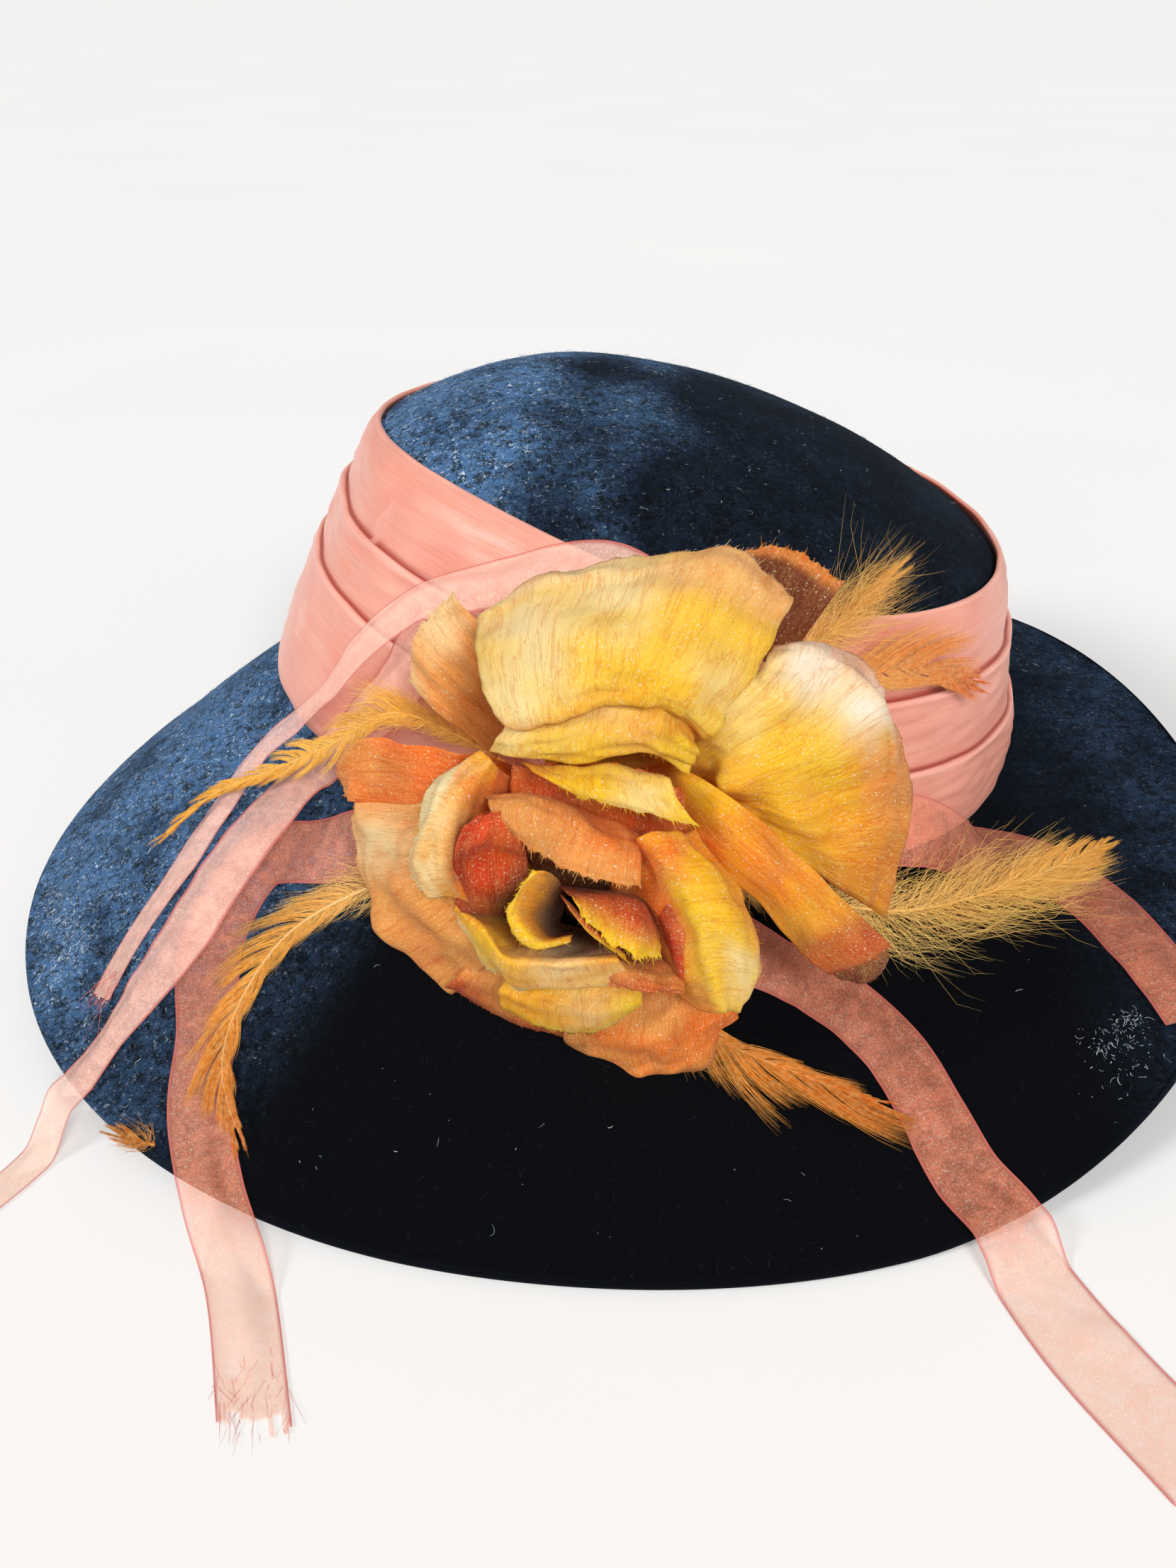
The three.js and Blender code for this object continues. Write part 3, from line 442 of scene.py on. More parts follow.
class Nodes:
    """A material's nodes, made by kind, with values or sockets for their inputs."""

    def __init__(self, name):
        self.material = bpy.data.materials.new(name)
        self.material.use_nodes = True
        self.tree = self.material.node_tree
        self.tree.nodes.clear()

    def join(self, value, socket):
        if isinstance(value, bpy.types.NodeSocket):
            self.tree.links.new(value, socket)
        else:
            socket.default_value = value

    def put(self, kind, result=0, inputs=None, **settings):
        node = self.tree.nodes.new(kind)
        for key, value in settings.items():
            setattr(node, key, value)
        for key, value in (inputs or {}).items():
            self.join(value, node.inputs[key])
        return node.outputs[result]

    def math(self, operation, a, b=0.0, clamp=False):
        return self.put("ShaderNodeMath", inputs={0: a, 1: b}, operation=operation, use_clamp=clamp)

    def times(self, a, b, clamp=False):
        return self.math("MULTIPLY", a, b, clamp)

    def total(self, *values):
        first, *others = values
        for value in others:
            first = self.math("ADD", first, value)
        return first

    def attribute(self, name, result="Color"):
        return self.put("ShaderNodeAttribute", result, attribute_name=name)

    def axis(self, vector, number):
        return self.put("ShaderNodeSeparateXYZ", number, {0: vector})

    def stretch(self, vector, scale):
        return self.put("ShaderNodeMapping", inputs={0: vector, 3: scale})

    def place(self):
        """Object coordinates in millimetres."""
        return self.stretch(self.put("ShaderNodeTexCoord", 3), (1000, 1000, 1000))

    def noise(self, vector, scale, detail, roughness, distortion=0.0):
        return self.put("ShaderNodeTexNoise", inputs={
            "Vector": vector, "Scale": scale, "Detail": detail, "Roughness": roughness,
            "Distortion": distortion})

    def streaks(self, cloth, across, along, detail, roughness, distortion=0.0):
        """Noise that is this fine across and along the cloth."""
        return self.noise(self.stretch(cloth, (across, along, 1.0)), 1.0, detail, roughness, distortion)

    def threads(self, cloth, across, along, distortion, detail):
        """Waves across the finer of the cloth's two directions."""
        return self.put("ShaderNodeTexWave", 1, {
            "Vector": self.stretch(cloth, (across, along, 1.0)), "Scale": 1.0, "Distortion": distortion,
            "Detail": detail}, bands_direction="X" if across > along else "Y")

    def range(self, value, low, high, to_low=0.0, to_high=1.0):
        return self.put("ShaderNodeMapRange", inputs={0: value, 1: low, 2: high, 3: to_low, 4: to_high})

    def blend(self, share, a, b, mode="MIX"):
        inputs = {0: share, 6: a, 7: b}
        return self.put("ShaderNodeMix", 2, inputs, data_type="RGBA", blend_type=mode)

    def bump(self, height, strength, distance):
        inputs = {"Strength": strength, "Distance": distance, "Height": height}
        return self.put("ShaderNodeBump", inputs=inputs)

    def surface(self, colour, rough, specular, normal=None, sheen=()):
        """The shader of a face. sheen is its weight, roughness and tint."""
        inputs = {"Base Color": colour, "Roughness": rough, "Specular IOR Level": specular}
        inputs.update(zip(("Sheen Weight", "Sheen Roughness", "Sheen Tint"), sheen))
        if normal is not None:
            inputs["Normal"] = normal
        return self.put("ShaderNodeBsdfPrincipled", inputs=inputs)

    def either(self, share, a, b):
        return self.put("ShaderNodeMixShader", inputs={0: share, 1: a, 2: b})

    def lit_through(self, share, face, colour, normal=None):
        """A face that also lets a share of the light behind it through."""
        inputs = {"Color": colour}
        if normal is not None:
            inputs["Normal"] = normal
        return self.either(share, face, self.put("ShaderNodeBsdfTranslucent", inputs=inputs))

    def finish(self, shader):
        out = self.tree.nodes.new("ShaderNodeOutputMaterial")
        self.tree.links.new(shader, out.inputs["Surface"])
        return self.material


def lin(r, g, b):
    """A colour given in screen values from 0 to 255."""
    shares = [v / 255 for v in (r, g, b)]
    return np.array([v / 12.92 if v <= 10 / 255 else ((v + 0.055) / 1.055) ** 2.4 for v in shares])


def rgba(r, g, b):
    return (*lin(r, g, b), 1.0)


def felt_material():
    m = Nodes("wool_felt")
    where = m.place()
    dust_and_light = m.axis(m.attribute("cloth", "Vector"), 0)
    patches = m.noise(where, 0.045, 4, 0.6)
    fleece = m.noise(where, 0.4, 5, 0.74, 0.8)
    hairs = m.noise(m.stretch(where, (1.3, 1.3, 1.3)), 1.6, 3, 0.65, 1.8)
    specks = m.noise(where, 1.15, 2, 0.5, 0.9)
    # the first cloth value brings dust and painted light: blue felt, pale hairs and specks where the felt
    # is painted as lit
    share = m.times(dust_and_light, m.range(patches, 0.36, 0.64, 0.4, 1.45))
    blue = m.times(share, m.range(fleece, 0.41, 0.58, 0.08, 1.25), clamp=True)
    light = m.times(m.range(hairs, 0.52, 0.68), m.range(share, 0.0, 0.9, 0.0, 0.8), clamp=True)
    lint = m.times(m.range(specks, 0.62, 0.71), m.range(share, 0.0, 1.0), clamp=True)
    colour = m.blend(blue, rgba(5, 6, 9), rgba(62, 98, 142))
    colour = m.blend(light, colour, rgba(136, 168, 198))
    colour = m.blend(lint, colour, rgba(190, 205, 220))
    height = m.total(fleece, m.times(hairs, 0.5))
    sheen = (0.03, 0.45, rgba(110, 150, 200))
    return m.finish(m.surface(colour, 0.95, 0.06, m.bump(height, 0.7, 0.0006), sheen))


def satin_material():
    m = Nodes("satin")
    cloth = m.attribute("cloth", "Vector")
    warp = m.streaks(cloth, 0.06, 5.0, 3, 0.6)
    weft = m.streaks(cloth, 4.0, 0.2, 2, 0.5)
    streak = m.streaks(cloth, 0.02, 0.6, 3, 0.6)
    blotch = m.noise(m.place(), 0.05, 3, 0.55)
    colour = m.blend(m.range(blotch, 0.3, 0.7, 0.0, 0.4), rgba(206, 128, 110), rgba(232, 178, 158))
    colour = m.blend(m.range(streak, 0.35, 0.7, 0.0, 0.5), colour, rgba(206, 112, 92))
    colour = m.blend(m.range(warp, 0.3, 0.7, 0.0, 0.22), colour, rgba(250, 205, 192))
    # the tint attribute carries painted highlights on fold edges, painted shade in the grooves, and the
    # real rubbed marks
    colour = m.blend(1.0, colour, m.attribute("tint"), "MULTIPLY")
    height = m.total(m.times(warp, 0.6), m.times(weft, 0.5))
    rough = m.range(weft, 0.3, 0.7, 0.27, 0.42)
    sheen = (0.25, 0.35, rgba(255, 214, 205))
    return m.finish(m.surface(colour, rough, 0.55, m.bump(height, 0.35, 0.0003), sheen))


def silk_material(name, clear):
    """Crinkled silk. clear is how much shows through between its threads."""
    m = Nodes(name)
    cloth, tint, where = m.attribute("cloth", "Vector"), m.attribute("tint"), m.place()
    thread = m.streaks(cloth, 3.4, 0.12, 4, 0.75, 0.2)
    crease = m.streaks(cloth, 0.5, 0.05, 3, 0.6, 0.5)
    warp = m.threads(cloth, 1.3, 0.03, 1.6, 2.0)
    weft = m.threads(cloth, 0.03, 1.3, 1.6, 2.0)
    painted_glint = m.noise(where, 2.6, 1, 0.5)
    grit = m.noise(where, 1.7, 2, 0.7)
    blotch = m.noise(where, 0.09, 3, 0.6)
    net = m.math("MAXIMUM", warp, weft)
    line = m.math("ABSOLUTE", m.math("SUBTRACT", crease, 0.5))
    light = m.blend(0.45, tint, rgba(255, 238, 134))
    dark = m.blend(1.0, tint, rgba(236, 178, 118), "MULTIPLY")
    colour = tint
    for share, other in (
            (m.range(thread, 0.5, 0.66, 0.0, 0.5), light),
            (m.range(thread, 0.34, 0.5, 0.26, 0.0), dark),
            # crease lines darkened: painted shade in their bumped grooves
            (m.range(line, 0.0, 0.026, 0.6, 0.0), dark),
            (m.range(blotch, 0.45, 0.62, 0.0, 0.22), light),
            (m.range(net, 0.3, 0.8, 0.2, 0.0), dark),
            (m.range(grit, 0.4, 0.5, 0.12, 0.0), dark),
            (m.range(grit, 0.52, 0.64, 0.0, 0.26), light),
            # bright specks: painted glints where the silk would catch the light
            (m.range(painted_glint, 0.66, 0.72, 0.0, 0.9), rgba(255, 250, 220))):
        colour = m.blend(share, colour, other)
    smooth_parts = m.times(m.range(line, 0.0, 0.04), 0.5)
    height = m.total(m.times(thread, 1.4), m.times(net, 0.35), m.times(grit, 0.2), smooth_parts)
    normal = m.bump(height, 0.5, 0.0005)
    face = m.surface(colour, m.range(painted_glint, 0.55, 0.75, 0.45, 0.22), 0.38, normal, (0.06, 0.4))
    solid = m.lit_through(0.36, face, colour, normal)
    if not clear:
        return m.finish(solid)
    holes = m.range(net, 0.35, 0.75, clear, clear * 0.15)
    return m.finish(m.either(holes, solid, m.put("ShaderNodeBsdfTransparent")))


def organza_material(name, body, pale):
    """Body is how much a single layer hides, pale the colour of its threads in the light."""
    m = Nodes(name)
    cloth = m.attribute("cloth", "Vector")
    across = m.threads(cloth, 0.02, 1.7, 0.8, 2.0)
    along = m.threads(cloth, 2.2, 0.02, 0.6, 1.0)
    moire = m.streaks(cloth, 0.16, 0.3, 3, 0.6, 0.7)
    painted_glint = m.streaks(cloth, 2.4, 2.4, 1, 0.5)
    grain = m.streaks(cloth, 1.7, 2.6, 1, 0.6)
    edge = m.range(m.axis(cloth, 2), 0.86, 0.97)
    colour = m.blend(m.range(across, 0.1, 0.9, 0.1, 0.6), m.attribute("tint"), pale)
    # bright specks: painted glints on the organza's threads
    colour = m.blend(m.range(painted_glint, 0.6, 0.68, 0.0, 0.8), colour, rgba(255, 232, 214))
    colour = m.blend(edge, colour, rgba(205, 104, 92))
    alpha = m.total(
        m.range(across, 0.0, 1.0, body - 0.11, body + 0.11), m.range(along, 0.0, 1.0, -0.05, 0.07),
        m.range(moire, 0.35, 0.65, -0.07, 0.09), m.range(grain, 0.35, 0.65, -0.06, 0.09))
    alpha = m.math("MAXIMUM", alpha, m.times(edge, 0.8), clamp=True)
    normal = m.bump(m.total(across, along), 0.3, 0.0002)
    solid = m.lit_through(0.1, m.surface(colour, 0.42, 0.5, normal), colour, normal)
    return m.finish(m.either(alpha, m.put("ShaderNodeBsdfTransparent"), solid))


def feather_material():
    m = Nodes("hackle")
    tone = m.noise(m.place(), 0.9, 3, 0.6)
    colour = m.blend(m.range(tone, 0.35, 0.65, 0.0, 0.35), m.attribute("tint"), rgba(255, 226, 150))
    face = m.surface(colour, 0.5, 0.4, m.bump(tone, 0.2, 0.0002))
    return m.finish(m.lit_through(0.4, face, colour))


def hair_material(name, rough):
    m = Nodes(name)
    tone = m.noise(m.place(), 0.7, 2, 0.5)
    colour = m.blend(m.range(tone, 0.3, 0.7, 0.0, 0.08), m.attribute("tint"), rgba(130, 140, 150))
    return m.finish(m.surface(colour, rough, 0.2))


felt_look, satin_look = felt_material(), satin_material()
silk_look, net_look = silk_material("silk_organza", 0.0), silk_material("silk_net", 0.5)
feather_look = feather_material()
organza_look = organza_material("organza_deep", 0.4, rgba(255, 178, 140))
light_organza = organza_material("organza_pale", 0.58, rgba(255, 220, 204))
wool_look, lint_look = hair_material("wool_fibres", 0.8), hair_material("lint", 0.7)


# Felt body: blocked felt with a soft cut edge, handled a little out of true
FELT_COLUMNS = 288
BRIM_ROWS, EDGE_ROWS, WALL_ROWS, RIM_ROWS, DOME_ROWS = 69, 10, 44, 40, 40
EDGE_ROUND = 1.1
EDGE_ANGLES = (60, 30, 0, -30, -60)
CROWN_FOOT = 62.0  # everything lower than this is brim or table
SMOOTHINGS = 14
BLUE_SIDE = 180.0  # bearing of the side that is painted as lit, bluer and lighter, and is also dusty
TURN_ROWS, ROUNDED_ROWS = slice(60, 80), slice(100, 140)
UNDER_STEP = 3  # the hidden face has a row for every third of the face that shows


def felt_grid():
    """The felt's upper face, row by row from the brim's edge up to the crown's tip."""
    bearing = circle(FELT_COLUMNS)
    flat = np.linspace(0.9, 0, BRIM_ROWS - EDGE_ROWS + 1)[1:]
    rows = [brim_point(bearing, share) for share in (*np.linspace(1, 0.9, EDGE_ROWS), *flat)]
    wall, rim = np.linspace(0.012, 0.72, WALL_ROWS), np.linspace(0.735, DOME_UP, RIM_ROWS)
    dome = 1 - (1 - DOME_UP) * np.linspace(0.97, 0.02, DOME_ROWS) ** 2
    rows += [crown_top(bearing, up) for up in (*wall, *rim, *dome)]
    grid = np.array(rows)
    # the turn between brim and crown is a small round one, and so is the crown's rim
    keep = np.ones(len(grid))
    keep[TURN_ROWS] = 0
    keep[ROUNDED_ROWS] = 0.5
    for _ in range(SMOOTHINGS):
        soft = grid.copy()
        soft[1:-1] = (grid[:-2] + 2 * grid[1:-1] + grid[2:]) / 4
        grid = mix(soft, grid, keep[:, None, None])
    return bearing, grid


def felt_dust_and_painted_light(points):
    """How dusty the felt is and how much it is painted as lit, from 0 to about 1: lighter and bluer on the
    side toward BLUE_SIDE and on the crown's upper left, as if lit from there.
    """
    x, y, z = (points[..., i] for i in range(3))
    around = np.arctan2(y, x)
    brim = smooth(0.5, 1.0, np.cos(around - math.radians(BLUE_SIDE))) * smooth(60, 110, np.hypot(x, y))
    brim = np.where(z > CROWN_FOOT, 0, brim)
    # painted light: the crown's upper left is painted lighter, as if lit from the side
    drift = x - 0.2 * y + 11 * ripple(points, 34, 41)
    crown = smooth(CROWN_FOOT, 90, z) * (0.04 + 2.0 * smooth(16, -88, drift))
    crown += 0.25 * smooth(0, 60, y) * smooth(100, 122, z)
    back = 0.28 * smooth(0.2, 0.9, np.sin(around)) * smooth(60, 120, np.hypot(x, y))
    right = 0.16 * smooth(90, 150, x)
    return np.clip(np.maximum.reduce([brim, crown, back, right]), 0, 1.3)


def felt_body():
    bearing, top = felt_grid()
    normal = grid_normals(top, True)
    dents = ripple(top, 70, 3) * 0.28 + ripple(top, 26, 4) * 0.16 - 0.42
    dents[:3] *= np.array([0.2, 0.5, 0.8])[:, None]
    top = top + normal * dents[..., None]
    under = top - normal * FELT
    lift = edge_lift(bearing)
    for i in range(EDGE_ROWS):
        flat = np.maximum(under[i, :, 2], lift)
        under[i, :, 2] = mix(lift, flat, smooth(3, 9, float(i)))
    on_table = np.arange(len(top)) <= BRIM_ROWS
    under[on_table, :, 2] = np.maximum(under[on_table, :, 2], 0)
    # the cut edge, rounded
    outward = unit((brim_point(bearing, 1.0) - brim_point(bearing, 0.98)) * [1, 1, 0])
    middle, half = (top[0] + under[0]) / 2, (top[0, :, 2] - under[0, :, 2]) / 2
    edge = []
    for angle in np.radians(EDGE_ANGLES):
        ring = middle + outward * EDGE_ROUND * (math.cos(angle) - 1)
        ring[:, 2] = middle[:, 2] + half * math.sin(angle)
        edge.append(ring)
    top[0] -= outward * EDGE_ROUND
    under[0] -= outward * EDGE_ROUND
    under = np.concatenate([under[:EDGE_ROWS], under[EDGE_ROWS:-1:UNDER_STEP], under[-1:]])
    rows = np.concatenate([top[::-1], np.array(edge), under])
    cloth = np.zeros(rows.shape)
    # the first cloth value is dust and painted light together
    cloth[..., 0] = felt_dust_and_painted_light(rows)
    faces = quads(rows.shape[0], FELT_COLUMNS, True)
    tip, last = np.arange(FELT_COLUMNS), (rows.shape[0] - 1) * FELT_COLUMNS
    caps = [tip[None], (last + tip)[None, ::-1]]
    part = {"points": rows, "faces": [faces[:, ::-1], *caps], "cloth": cloth}
    build("felt_hat", [part], felt_look, ["felt_body"])
    return top, normal


felt_top, felt_normal = felt_body()

FIBRES = 15000


def felt_fuzz():
    """Wool fibres that stand out of the felt and give it a soft outline."""
    rows, columns = felt_top.shape[:2]
    i, j = rng.integers(1, rows - 2, FIBRES * 3), rng.integers(0, columns, FIBRES * 3)
    up = np.linalg.norm(felt_top[i + 1, j] - felt_top[i, j], axis=1)
    area = up * np.linalg.norm(felt_top[i, (j + 1) % columns] - felt_top[i, j], axis=1)
    keep = rng.random(FIBRES * 3) < area / np.quantile(area, 0.9)
    i, j = i[keep][:FIBRES], j[keep][:FIBRES]
    start = felt_top[i, j] + (felt_top[i + 1, j] - felt_top[i, j]) * rng.random((len(i), 1))
    n = felt_normal[i, j]
    tangent = unit(np.cross(n, rng.normal(size=n.shape)))
    long = rng.uniform(0.5, 2.0, (len(i), 1))
    bend = unit(np.cross(n, tangent)) * rng.normal(0, 0.35, (len(i), 1))
    rise = rng.uniform(0.05, 0.45, (len(i), 1))
    steps = [start + long * (tangent * t + bend * t * t + n * (0.04 + rise * t)) for t in (0, 0.5, 1)]
    widths = np.outer(rng.uniform(0.04, 0.075, len(i)), [1, 0.8, 0.25])
    dust_and_light = felt_dust_and_painted_light(start)[:, None]
    # fibres are paler where the felt is dusty and painted as lit
    pale = np.clip(dust_and_light * rng.uniform(0.3, 1.2, dust_and_light.shape), 0, 1)
    tint = mix(lin(8, 10, 14), lin(112, 144, 180), pale)
    build("felt_fibres", [strands(np.stack(steps, 1), widths, tint)], wool_look)


felt_fuzz()

# Lint: pale hairs and specks that cling to the felt, thickest on the smudges that the photograph shows
SMUDGES = (  # pixel across, pixel down, spread in mm, hairs
    (92, 1305, 4.0, 190), (100, 1345, 3.5, 150), (84, 1265, 3.0, 90), (1583, 1455, 2.4, 60),
    (1562, 1478, 1.7, 30), (1602, 1436, 1.5, 30), (1572, 1500, 5.0, 60), (1530, 1365, 0.8, 14),
    (250, 1370, 2.0, 12), (500, 1590, 14.0, 14), (700, 1780, 16.0, 12), (1100, 1700, 30.0, 8),
    (1180, 1800, 12.0, 10), (150, 1200, 14.0, 150), (230, 1080, 16.0, 160), (330, 1000, 12.0, 60),
    (130, 1480, 10.0, 90), (1500, 930, 12.0, 40), (1480, 1250, 20.0, 8), (650, 1500, 26.0, 10),
)
CROWN_LINT = 2600  # tries for hairs on the crown's top
LINT_LIFT = 0.05


def lint():
    starts = []
    for px, py, spread, hairs in SMUDGES:
        middle = on_felt(px, py)
        at = middle[:2] + rng.normal(0, spread, (hairs, 2))
        bearing, out = on_brim(at[:, 0], at[:, 1])
        held = (out > 0.05) & (out < 0.97)
        starts.append(brim_point(bearing[held], out[held]) + UP * LINT_LIFT)
    # and on the crown's top
    bearing, up = rng.uniform(0, 2 * math.pi, CROWN_LINT), rng.uniform(0.78, 0.995, CROWN_LINT)
    tops = crown_point(bearing, up) + UP * LINT_LIFT
    chance = 0.06 + 0.94 * smooth(50, -60, tops[:, 0])
    starts.append(tops[rng.random(len(tops)) < chance])
    start = np.concatenate(starts)
    n = len(start)
    heading = rng.uniform(0, 2 * math.pi, (n, 1))
    curl = rng.normal(0, 0.9, (n, 1))
    long = np.minimum(rng.gamma(1.5, 0.45, (n, 1)), 2.2)
    steps = []
    for t in np.linspace(0, 1, 6):
        angle = heading + curl * t
        steps.append(start + np.concatenate([np.cos(angle), np.sin(angle), 0 * angle], 1) * long * t)
    paths = np.stack(steps, 1)
    low = paths[..., 2] < CROWN_FOOT
    paths[low, 2] = ground(paths[low, 0], paths[low, 1]) + LINT_LIFT
    paths[~low, 2] += 2 * LINT_LIFT
    widths = np.outer(rng.uniform(0.035, 0.12, n), [0.5, 1, 1, 1, 0.8, 0.3])
    tone = rng.uniform(0.1, 0.95, (n, 1))
    tint = mix(lin(90, 112, 140), lin(235, 240, 245), tone)
    build("lint_hairs", [strands(paths, widths, tint, np.broadcast_to(UP, paths.shape))], lint_look)


lint()

# Satin band: three pleats with rolled edges and small drag lines
BAND_COLUMNS = 420
BAND_BACK_ROWS = 14
FOLD_BACKS = (0.026, 0.014, 0.006, 0.001, 0.0, 0.002, -0.003)
RUB_SPREAD = 9.0
FAR_SIDE = 340.0  # millimetres from the eye, past which the band is hidden
BAND_RUBS = ((540, 742, 4.6, 0.9), (424, 877, 4.2, 1.25))  # pixel across and down, length in mm, lean


def satin_band():
    bearing = circle(BAND_COLUMNS)
    turn = (1 - np.cos(bearing)) / 2
    low = mix(LOWER_FOLD[1], LOWER_FOLD[0], turn)
    high = mix(UPPER_FOLD[1], UPPER_FOLD[0], turn)
    sway = np.stack([np.cos(bearing), np.sin(bearing)], -1) * 90
    low = low + 0.008 * ripple(sway, 60, 11)
    high = high + 0.006 * ripple(sway, 50, 12)
    rows, tints, shares = [], [], []

    def row(share, proud, tint, lines=1.0):
        """A row of the band: share of its height, layers of satin below, tint, strength of drag lines."""
        share = np.broadcast_to(share, bearing.shape)
        around = np.cos(bearing) * 90, np.sin(bearing) * 90
        drag = ripple(np.stack([*around, share * 60], -1), 34, 13) * 0.38
        drag += ripple(np.stack([*around, share * 260], -1), 17, 14) * 0.19
        rows.append(band_point(bearing, share, GAP + proud * SATIN + drag * lines - 0.2 * lines))
        tints.append(np.broadcast_to(tint, (BAND_COLUMNS, 3)))
        shares.append(share)

    def fold(line, layers):
        """A pleat's rolled edge, row by row up to its line, with a painted highlight, and the groove beside
        it, with painted shade.
        """
        for back, proud, tint in zip(FOLD_BACKS, layers, (plain, edge, edge, edge, plain, deep, deep)):
            row(line - back, proud, tint, 0.7)

    # edge tints the rolled fold edges lighter as a painted highlight; deep tints the grooves, the band's
    # foot and its hidden back darker as painted shade; plain is the satin's own tint
    edge, deep, plain = (1.12, 1.24, 1.28), (0.5, 0.2, 0.17), (1.0, 0.98, 0.95)
    row(0.0, 0.3, deep, 0)
    row(0.0, 1.2, deep, 0)
    row(0.004, 1.9, plain, 0.4)
    for t in np.linspace(0.02, 1, 18)[:-1]:
        row(low * t * 0.965, 2.2 + 0.8 * math.sin(min(1, t * 1.6) * math.pi / 2), plain)
    fold(low, (3.0, 3.02, 2.98, 2.8, 2.5, 2.2, 1.95))
    for t in np.linspace(0, 1, 15)[1:-1]:
        row(mix(low + 0.006, high - 0.03, t), 2.05 + 0.12 * math.sin(t * math.pi), plain)
    fold(high, (2.2, 2.22, 2.15, 1.9, 1.6, 1.35, 1.02))
    for t in np.linspace(0, 1, 13)[1:]:
        row(mix(high + 0.006, 0.985, t), 1.05 + 0.05 * math.sin(t * math.pi), plain)
    for proud, share, tint in ((1.0, 0.992, edge), (0.8, 0.998, edge), (0.4, 1.0, plain),
                               (0.1, 0.997, deep)):
        row(share, proud, tint, 0.4)
    for share in np.linspace(0.98, 0.0, BAND_BACK_ROWS):
        row(share, 0.05, deep, 0)
    grid = np.array(rows)
    around = np.cumsum(np.linalg.norm(np.roll(grid[20], -1, 0) - grid[20], axis=1))
    height = np.array(shares) * band_height
    cloth = np.stack([np.broadcast_to(around, height.shape), height, np.zeros_like(height)], -1)
    # a ring closed in both directions
    index = np.arange(len(grid) * BAND_COLUMNS).reshape(len(grid), BAND_COLUMNS)
    above = np.roll(index, -1, 0)
    faces = np.stack([index, np.roll(index, -1, 1), np.roll(above, -1, 1), above], -1).reshape(-1, 4)
    tint = np.array(tints)
    # two rubbed marks on the left, with a paler upper side
    for px, py, long, lean in BAND_RUBS:
        d = ray(px, py)
        away = np.linalg.norm(np.cross(grid - EYE, d), axis=-1)
        away = np.where((grid - EYE) @ d > FAR_SIDE, np.inf, away)
        middle = grid.reshape(-1, 3)[np.argmin(away)]
        rel = grid - middle
        near = np.linalg.norm(rel, axis=-1) < RUB_SPREAD
        u = rel @ (ASIDE * math.cos(lean) + ABOVE * math.sin(lean))
        v = rel @ (-ASIDE * math.sin(lean) + ABOVE * math.cos(lean))
        u, v = u + 0.5 * ripple(rel, 2.5, 21), v + 0.4 * ripple(rel, 2.0, 22)
        round_it = np.hypot(u / long, v / (long * 0.42))
        rim = smooth(0.4, 0.1, np.abs(round_it - 1)) * smooth(-0.6, 0.8, v)
        mark = 0.32 * smooth(1.1, 0.6, round_it) + 0.5 * rim
        tint = mix(tint, np.array([1.12, 1.4, 1.45]), (mark * near)[..., None])
    part = {"points": grid, "faces": [faces], "tint": tint, "cloth": cloth}
    band = build("satin_band_pleated", [part], satin_look, ["satin_band"])
    shows = grid[:len(grid) - BAND_BACK_ROWS]
    round_it = np.linalg.norm(np.roll(shows, -1, 1) - shows, axis=-1).sum(1).mean() / 1000


satin_band()

# Silk rose: each petal is a net of points, given by where the photograph shows them and how far forward of
# the band they lie. A row runs across the petal, and the rows go from its root to its rim. Dyes and
# highlights
# are patches of another colour: pixel across, pixel down, radius in pixels, colour and strength; the white
# ones are painted highlights. Tones are the colour at the root, in the body and at the rim; the brown roots
# of the inner petals are partly painted shade deep in the bud.
WHITE, CREAM, YELLOW, GOLD = lin(255, 255, 252), lin(255, 244, 194), lin(255, 212, 6), lin(255, 184, 14)
PEACH, ORANGE, TAN = lin(248, 172, 88), lin(250, 124, 24), lin(232, 146, 66)
PALE_TAN = lin(250, 212, 152)
RUST, BROWN, RED = lin(214, 88, 32), lin(140, 64, 36), lin(226, 60, 16)

